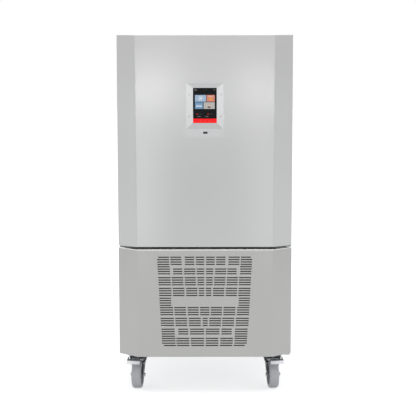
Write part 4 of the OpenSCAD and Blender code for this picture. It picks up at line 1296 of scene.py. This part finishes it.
def makeEvaporatorPanel():
    low = boxOf("evaporator_panel")[0]
    bm = nodeShape("evaporator_panel")
    outer = [e for e in bm.edges if isSharp(e, 60) and all(v.co.y < low.y + 0.1 for v in e.verts)
             and e.calc_length() > 200]
    roundEdges(bm, outer, guardForm["panelRounding"], 4)
    finishPiece("evaporatorPanel", bm, "evaporator_panel")


def makeFanGuards():
    form = guardForm
    low, high = boxOf("fan_guards")
    bm = bmesh.new()
    reach = (high.x - low.x) / 2
    deep = high.y - low.y
    wire, mouth = form["wire"], form["mouth"]
    rim = [(mouth - 2, 0), (reach - 1, 0), (reach, 1), (reach, deep - 4), (reach - 3, deep - 0.6),
           (reach - 6, deep), (mouth + 1, deep), (mouth - 2, deep - 2), (mouth - 2, 0)]
    boss = [(0, deep), (18, deep - 0.4), (26, deep - 1.6), (26, deep - 4), (0, deep - 4)]

    def ray(turn, length):
        return Vector((math.cos(math.radians(turn)), 0, math.sin(math.radians(turn)))) * length
    for z in (low.z + reach, high.z - reach):
        place = along((0, high.y, z), (0, low.y, z))
        addTurned(bm, rim, place, 72)
        for radius in form["rings"]:
            addRing(bm, (0, low.y + wire, z), (0, 1, 0), radius, wire, 64)
        addTurned(bm, boss, place, 40)
        centre = Vector((0, low.y + 2 * wire, z))
        for turn in form["spokes"]:
            addRod(bm, centre + ray(turn, form["spokeStart"]), centre + ray(turn, mouth), wire, 10)
        behind = Vector((0, high.y - 0.4, z))
        for turn in form["screws"]:
            addScrew(bm, behind + ray(turn, reach + form["screwOut"]), (0, -1, 0), 4, 2.2, 14)
    finishPiece("fanGuards", bm, "fan_guards")


fanForm = {
    "evaporator": (34, 112),     # the hub's radius and the blades'
    "condenser": (40, 132),
    "depth": 36,
    "hubScrews": 6,
    "blades": 5,
    "chord": 68,
    "rootPitch": 40,
    "tipPitch": 26,
    "camber": 6,
    "bladeLift": 14.5,
    "bladeSheet": 2.2,
    "bladeSteps": 8,
    "sweep": 10,
}


def makeFan(name, node, kind):
    form = fanForm
    r, tipRadius = form[kind]
    centre = Vector(jointOf[bodyOf[node]]["pos_m"]) / mm
    half = Vector((0, form["depth"] / 2, 0))
    place = along(centre + half, centre - half)
    bm = bmesh.new()
    addTurned(bm, [(6.1, 0), (r - 4, 0), (r, 3), (r, 27), (r - 3, 32.5), (r - 11, 35.4), (0, 36), (0, 30),
                   (6.1, 30), (6.1, 0)], place, 40)
    for i in range(form["hubScrews"]):
        turn = Matrix.Rotation(math.tau * i / form["hubScrews"], 4, "Y")
        spot = centre + turn @ Vector((r * 0.62, -17.2, 0))
        addRod(bm, spot + Vector((0, 1, 0)), spot, 2.4, 12)
    finishPiece(name + "Hub", bm, node)

    bm = bmesh.new()
    steps = form["bladeSteps"]
    root = r - 3
    for i in range(form["blades"]):
        made = bmesh.ops.create_grid(bm, x_segments=steps, y_segments=steps, size=0.5)
        spin = Matrix.Rotation(math.tau * i / form["blades"], 4, "Z")
        for vert in made["verts"]:
            # out runs from the root to the tip, and part from one edge of the blade to the other
            out = vert.co.x + 0.5
            part = vert.co.y * 2
            radius = root + out * (tipRadius - root)
            pitch = math.radians(form["rootPitch"] + out * (form["tipPitch"] - form["rootPitch"]))
            chord = form["chord"] * (0.82 + 0.18 * out) / 2
            if out > 0.8:
                chord *= 1 - 0.35 * ((out - 0.8) / 0.2) ** 2
            side = part * chord * math.cos(pitch) + form["sweep"] * out * out
            rise = part * chord * math.sin(pitch) + form["camber"] * (1 - part * part) * (0.4 + 0.6 * out)
            angle = side / radius * 0.9
            vert.co = spin @ Vector((radius * math.cos(angle), radius * math.sin(angle),
                                     rise + form["bladeLift"]))
    bmesh.ops.transform(bm, matrix=place, verts=bm.verts)
    bmesh.ops.recalc_face_normals(bm, faces=bm.faces)
    finishPiece(name + "Blades", bm, node, shows=False, thickness=form["bladeSheet"])


motorForm = {
    "evaporator": {"radius": 42, "strap": 150, "front": 193},
    "condenser": {"radius": 48, "strap": 185, "front": -191},
    "panelSheet": 1.5,
    "length": 52,
    "strapSize": (20, 4),
    "nutRadius": 4.6,
    "ribs": 20,
    "ribSize": (4.4, 27, 1.8),
}


def addMotor(bm, fan, own, sheetY):
    # a ribbed motor on a strap whose ends stand on the sheet at sheetY
    form = motorForm
    z = jointOf[bodyOf[fan]]["pos_m"][2] / mm
    r, front, long = own["radius"], own["front"], form["length"]
    addTurned(bm, [(0, -22), (6, -22), (6, -0.5), (r * 0.32, -0.3), (r * 0.4, 0.5), (r * 0.86, 1),
                   (r - 1.5, 4), (r - 1.5, 9), (r, 9.6), (r, 12), (r - 4, 12.6), (r - 4, long - 13),
                   (r, long - 12.4), (r, long - 10), (r - 1.5, long - 9), (r - 2, long - 3),
                   (r * 0.8, long), (0, long)],
              along((0, front, z), (0, front + long, z)), 56)
    for i in range(form["ribs"]):
        turn = Matrix.Rotation(math.tau * i / form["ribs"], 4, "Y")
        rib = Matrix.Translation((0, front + long / 2, z)) @ turn @ Matrix.Translation((r - 2.6, 0, 0))
        addBlock(bm, rib, form["ribSize"], 0.4, 1)
    back, reach = front + long, own["strap"]
    wide, thick = form["strapSize"]
    addBox(bm, (-reach, back, z - wide / 2), (reach, back + thick, z + wide / 2), 0.8)
    for x in (-reach, reach - thick):
        addBox(bm, (x, sheetY, z - wide / 2), (x + thick, back + thick, z + wide / 2), 0.8)
    for dx in (-r * 0.55, r * 0.55):
        addRod(bm, (dx, back + thick, z), (dx, back + thick + 3.4, z), form["nutRadius"], 6, 0.5)


def makeMotors():
    bm = bmesh.new()
    panelBack = boxOf("evaporator_panel")[0].y + motorForm["panelSheet"]
    for fan in ("evaporator_fan_lower", "evaporator_fan_upper"):
        addMotor(bm, fan, motorForm["evaporator"], panelBack)
    addMotor(bm, "condenser_fan", motorForm["condenser"], boxOf("fan_shroud")[1].y)
    finishPiece("fanMotors", bm, "fan_motors")


coilForm = {
    "evaporator": {"halfWidth": 295, "bottom": 800, "bends": 12, "rows": 2},
    "condenser": {"halfWidth": 215, "bottom": 205, "bends": 8, "rows": 1},
    "finPitch": 4.2,
    "finThick": 0.5,
    "tube": 5,
    "bend": 14,
    "plate": 2,
    "flange": 4,
}


def makeCoil(name):
    # end plates, close fins, and tubes that turn back at both ends
    form = coilForm
    own = form[name]
    node = name + "_coil"
    boxLow, boxHigh = boxOf(node)
    low = Vector((-own["halfWidth"], boxLow.y + form["flange"], own["bottom"]))
    high = Vector((own["halfWidth"], boxHigh.y - form["flange"], boxHigh.z))
    fins = bmesh.new()
    half = form["finThick"] / 2
    count = round((high.x - low.x) / form["finPitch"])
    for i in range(1, count):
        x = low.x + i * (high.x - low.x) / count
        addBox(fins, (x - half, low.y + 0.5, low.z + 2), (x + half, high.y - 0.5, high.z - 2))
    for x in (low.x, high.x - form["plate"]):
        addBox(fins, (x, low.y - form["flange"], low.z),
               (x + form["plate"], high.y + form["flange"], high.z), 0.5)
    finishPiece(name + "Fins", fins, node)

    tubes = bmesh.new()
    tube, bend = form["tube"], form["bend"]
    section = [Vector((0, tube * math.cos(t), bend + tube * math.sin(t)))
               for t in (math.tau * k / 10 for k in range(10))]
    for row in range(own["rows"]):
        y = low.y + (high.y - low.y) * (row + 0.5) / own["rows"]
        for i in range(own["bends"]):
            z = low.z + (high.z - low.z) * (i + 0.5) / own["bends"]
            for dz in (-bend, bend):
                addRod(tubes, (low.x - 1, y, z + dz), (high.x + 1, y, z + dz), tube, 10)
            for side, x in ((-1, low.x), (1, high.x)):
                ring = [tubes.verts.new(Vector((x, y, z)) + co) for co in section]
                edges = [tubes.edges.new(pair) for pair in zip(ring, ring[1:] + ring[:1])]
                bmesh.ops.spin(tubes, geom=ring + edges, cent=(x, y, z), axis=(0, side, 0), dvec=(0, 0, 0),
                               angle=math.pi, steps=10)
    bmesh.ops.recalc_face_normals(tubes, faces=tubes.faces)
    finishPiece(name + "Tubes", tubes, node, shows=False, slot="copper")


# the cooling unit in the lower part

unitForm = {
    "compressor": (130, 130),
    "compressorRadius": 105,
    "shellBottom": 202,
    "shellHeight": 250,
    "shellDome": 45,
    "seam": 3,
    "skirt": [(0, 0), (60, 0), (66, 3), (58, 18), (0, 18)],
    "plate": (240, 180, 4),
    "feet": (105, 75),
    "terminalBox": (62, 44, 74),
    "stubs": {"suction": (188, 190, 11), "discharge": (60, 88, 9)},   # where, and the radius
    "receiver": (-200, 200),
    "receiverSize": (60, 310, 30, 2),    # radius, height, dome, seam
    "receiverLift": 14,
    "receiverRing": [(26, 3), (34, 3), (34, 18), (30, 22), (26, 22), (26, 3)],
    "receiverPlate": (140, 80, 3),
    "receiverBolts": (56, 28),
    "receiverPort": (60, 87),            # how far to the left, and how high
    "drier": (-70, 240),
    "drierEnd": [(0, 0), (7.6, 0), (8, 1), (8, 18), (9.5, 22), (17, 31), (25, 41), (28, 47)],
    "drierSeams": (62, 128),
    "drierLength": 190,
}
# each pipe's radius, the radius of its bends and its route, from the part that it leaves
pipes = {
    "suction": (8, 26, [(188, 190, 440), (188, 190, 600), (188, 320, 600), (60, 320, 600), (60, 320, 662)]),
    "discharge": (6, 26, [(60, 88, 440), (60, 88, 530), (300, 88, 530), (300, -294, 530), (232, -294, 530)]),
    "liquid": (6, 26, [(-232, -294, 250), (-300, -294, 250), (-300, 200, 250), (-258, 200, 250)]),
    "drier": (5, 20, [(-200, 200, 484), (-200, 200, 560), (-70, 240, 560), (-70, 240, 515)]),
    "feed": (5, 20, [(-70, 240, 332), (-70, 240, 290), (-70, 340, 290), (10, 340, 290), (10, 340, 662)]),
}


def shellSection(radius, height, dome, seam):
    # half section of a domed steel shell with a weld seam round its middle
    flat = 0.45            # share of the radius that each end's middle leaves flat
    steps = [math.pi / 2 * i / 6 for i in range(1, 7)]
    middle = height * 0.56
    inner = radius - seam
    lower = [(radius * (flat + (1 - flat) * math.sin(a)), dome * (1 - math.cos(a))) for a in steps]
    upper = [(inner * (flat + (1 - flat) * math.sin(a)), height - dome * (1 - math.cos(a)))
             for a in steps[::-1]]
    waist = [(inner, dome + 4), (inner, middle - 6), (radius, middle - 4), (radius, middle + 4),
             (inner, middle + 6), (inner, height - dome - 4)]
    return [(0, 0), (radius * flat, 0)] + lower + waist + upper + [(radius * flat, height), (0, height)]


def makeCompressor():
    form = unitForm
    x, y = form["compressor"]
    bottom = form["shellBottom"]
    low = boxOf("compressor")[0]
    thick = form["plate"][2]
    plate = bmesh.new()
    addPlate(plate, (x, y, low.z + thick / 2), form["plate"], 18, 6)
    roundEdges(plate, [e for e in plate.edges if isSharp(e, 60)], 0.8, 2)
    finishPiece("compressorPlate", plate, "compressor", shows=False, slot="black_enamel")

    bm = bmesh.new()
    shell = shellSection(form["compressorRadius"], form["shellHeight"], form["shellDome"], form["seam"])
    addTurned(bm, shell, Matrix.Translation((x, y, bottom)), 72)
    addTurned(bm, form["skirt"], Matrix.Translation((x, y, low.z + 3)), 48)
    wide, deep, tall = form["terminalBox"]
    foot = bottom + 80
    addBox(bm, (x - wide / 2, low.y, foot), (x + wide / 2, low.y + deep, foot + tall), 5, 4)
    for dx in (-22, 22):
        for z in (foot + 10, foot + tall - 10):
            addScrew(bm, (x + dx, low.y + 1, z), (0, -1, 0), 2.4, 1)
    for stubX, stubY, radius in form["stubs"].values():
        addRod(bm, (stubX, stubY, 412), (stubX, stubY, 446), radius, 24, 1.5, radius - 1)
    finishPiece("compressor", bm, "compressor")


def makeCompressorFeet():
    form = unitForm
    x, y = form["compressor"]
    low, high = boxOf("compressor_feet")
    bm = bmesh.new()
    tall = high.z - low.z
    footX, footY = form["feet"]
    for dx in (-footX, footX):
        for dy in (-footY, footY):
            place = Matrix.Translation((x + dx, y + dy, low.z))
            addTurned(bm, [(0, 0), (14, 0), (15, 1.5), (15, 5), (11.5, 8), (13.5, 12), (11, 16), (13.5, 20),
                           (11.5, tall - 6), (13, tall - 3), (12, tall), (0, tall)], place, 32)
    finishPiece("compressorFeet", bm, "compressor_feet")


def makeReceiver():
    form = unitForm
    x, y = form["receiver"]
    low, high = boxOf("receiver")
    bm = bmesh.new()
    shell = shellSection(*form["receiverSize"])
    addTurned(bm, shell, Matrix.Translation((x, y, low.z + form["receiverLift"])), 56)
    addTurned(bm, form["receiverRing"], Matrix.Translation((x, y, low.z)), 40)
    thick = form["receiverPlate"][2]
    addPlate(bm, (x, y, low.z + thick / 2), form["receiverPlate"], 12, 5)
    boltX, boltY = form["receiverBolts"]
    for at in ((x + i * boltX, y + j * boltY) for i in (-1, 1) for j in (-1, 1)):
        addRod(bm, (*at, low.z + thick), (*at, low.z + thick + 5), 6.5, 6, 0.6)
    addRod(bm, (x, y, high.z - 14), (x, y, high.z - 1), 11, 6, 0.8)
    port, lift = form["receiverPort"]
    addRod(bm, (x - port - 6, y, low.z + lift), (x - port + 6, y, low.z + lift), 10, 6, 0.8)
    finishPiece("receiver", bm, "receiver")


def makeDrier():
    form = unitForm
    x, y = form["drier"]
    low = boxOf("filter_drier")[0]
    bm = bmesh.new()
    section = list(form["drierEnd"])
    radius = section[-1][0]
    for height in form["drierSeams"]:
        section += [(radius, height - 2), (radius - 0.8, height), (radius, height + 2)]
    section += [(r, form["drierLength"] - h) for r, h in form["drierEnd"][::-1]]
    addTurned(bm, section, Matrix.Translation((x, y, low.z)), 48)
    finishPiece("filterDrier", bm, "filter_drier")


def makePipes():
    for name, (radius, bend, points) in pipes.items():
        addTube(name + "Pipe", "copper_lines", points, radius, bend, shows=name == "suction")


electricForm = {
    "boxRounding": 3,
    "lid": (3, 1.2),             # thickness and rounding
    "lidScrew": (5.5, 14),       # radius, and how far in from each edge
    "glands": (60, 104, 148),    # from the box's front
    "gland": [(0, 0), (13, 0), (13, 3.4), (9.5, 3.9), (9.5, 9.5), (7, 12), (4.5, 12.4), (4.5, 4), (0, 4)],
    "inletTeeth": 16,
}


def makePowerBox():
    form = electricForm
    low, high = boxOf("power_box")
    bm = bmesh.new()
    lid, lidRounding = form["lid"]
    addBox(bm, (low.x, low.y + 4, low.z + 4), (high.x - lid - 0.4, high.y - 4, high.z - 4),
           form["boxRounding"], 3)
    addBox(bm, (high.x - lid, low.y, low.z), high, lidRounding, 3)
    radius, inset = form["lidScrew"]
    for y in (low.y + inset, high.y - inset):
        for z in (low.z + inset, high.z - inset):
            addRod(bm, (high.x - lid - 0.2, y, z), (high.x - 0.1, y, z), radius, 20, 0.5)
    for back in form["glands"]:
        at = Vector((high.x - 60, low.y + back, low.z + 4))
        addTurned(bm, form["gland"], along(at, at - Vector((0, 0, 1))), 24)
    finishPiece("powerBox", bm, "power_box")


def makePowerInlet():
    teeth = electricForm["inletTeeth"]
    low, high = boxOf("power_inlet")
    x, z = (low.x + high.x) / 2, (low.z + high.z) / 2
    place = along((x, low.y, z), (x, high.y, z))
    deep = high.y - low.y
    bm = bmesh.new()
    addTurned(bm, [(6.4, 1), (7, 0), (11.4, 0), (12, 1), (12, deep - 11), (6.4, deep - 11), (6.4, 1)],
              place, 32)
    addRod(bm, (x, high.y - 11, z), (x, high.y - 7.2, z), 18, 6, 0.8)
    addTurned(bm, [(6.2, deep - 7.4), (13, deep - 7.4), (12.4, deep - 3), (10, deep - 1), (8, deep),
                   (6.2, deep - 0.6), (6.2, deep - 7.4)], place, 32)
    for i in range(teeth):
        turn = Matrix.Rotation(math.tau * i / teeth, 4, "Y")
        tooth = Matrix.Translation((x, high.y - 5.4, z)) @ turn @ Matrix.Translation((12.6, 0, 0))
        addBlock(bm, tooth, (1.6, 3.6, 1.8))
    finishPiece("powerInlet", bm, "power_inlet")


shroudForm = {
    "rounding": 4,
    "mouth": 150,
    "wire": 2.4,
    "legs": (-215, 185),         # where each foot of the condenser starts
    "legWidth": 30,
    "legDepth": (-316, -274),
    "legTop": 207,
    "legSheet": 2.5,
}


def makeShroud():
    form = shroudForm
    low, high = boxOf("fan_shroud")
    bm = nodeShape("fan_shroud")
    roundEdges(bm, [e for e in bm.edges if isSharp(e, 60) and e.calc_length() > 200
                    and all(v.co.y > high.y - 0.1 for v in e.verts)], form["rounding"], 3)
    finishPiece("fanShroud", bm, "fan_shroud")
    bm = bmesh.new()
    middleZ = (low.z + high.z) / 2
    addRing(bm, (0, high.y - 1, middleZ), (0, 1, 0), form["mouth"], form["wire"], 72, 10)
    finishPiece("shroudRim", bm, "fan_shroud", shows=False, slot="black_enamel")


def makeCondenserLegs():
    form = shroudForm
    bottom = boxOf("condenser_coil")[0].z
    bm = bmesh.new()
    front, back = form["legDepth"]
    sheet, top = form["legSheet"], form["legTop"]
    for x in form["legs"]:
        end = x + form["legWidth"]
        addBox(bm, (x, front + 1, bottom), (end, back - 1, bottom + sheet), 0.8)
        addBox(bm, (x, front, bottom), (end, front + sheet, top), 0.8)
        addBox(bm, (x, back - sheet, bottom), (end, back, top), 0.8)
    finishPiece("condenserLegs", bm, "condenser_coil", shows=False, slot="galvanised")


def makeDrain():
    low, high = boxOf("drain_tube")
    x, y = (low.x + high.x) / 2, (low.y + high.y) / 2
    tall = high.z - low.z
    bm = bmesh.new()
    addTurned(bm, [(9, 0.6), (9.6, 0), (10.6, 0), (11, 0.6), (11, tall - 60), (10, tall - 58),
                   (10, tall - 34), (11, tall - 32), (11, tall), (9, tall), (9, 0.6)],
              Matrix.Translation((x, y, low.z)), 40)
    for lift in (6, 12, tall - 52, tall - 46, tall - 40):
        addRing(bm, (x, y, low.z + lift), (0, 0, 1), 10.2, 0.8, 32, 6)
    finishPiece("drainTube", bm, "drain_tube")


makeDoorSkin()
makeLowerPanel()
makeAirFilter()
makeDisplay()
makeSocket()
print("door, lower panel and display ready")
makeCasters()
print("casters ready")
makeDoorInside()
makeDoorBushes()
makeHinges()
makeCabinet()
makeRearGrille()
makeCabinetScrews()
makeWallSpacers()
print("cabinet ready")
makeChamber()
makeRack()
makeEvaporatorPanel()
makeFanGuards()
makeFan("upperFan", "evaporator_fan_upper", "evaporator")
makeFan("lowerFan", "evaporator_fan_lower", "evaporator")
makeFan("condenserFan", "condenser_fan", "condenser")
makeMotors()
makeCoil("evaporator")
makeCoil("condenser")
print("chamber ready")
makeCompressor()
makeCompressorFeet()
makeReceiver()
makeDrier()
makePipes()
makePowerBox()
makePowerInlet()
makeShroud()
makeCondenserLegs()
makeDrain()
print("cooling unit ready")
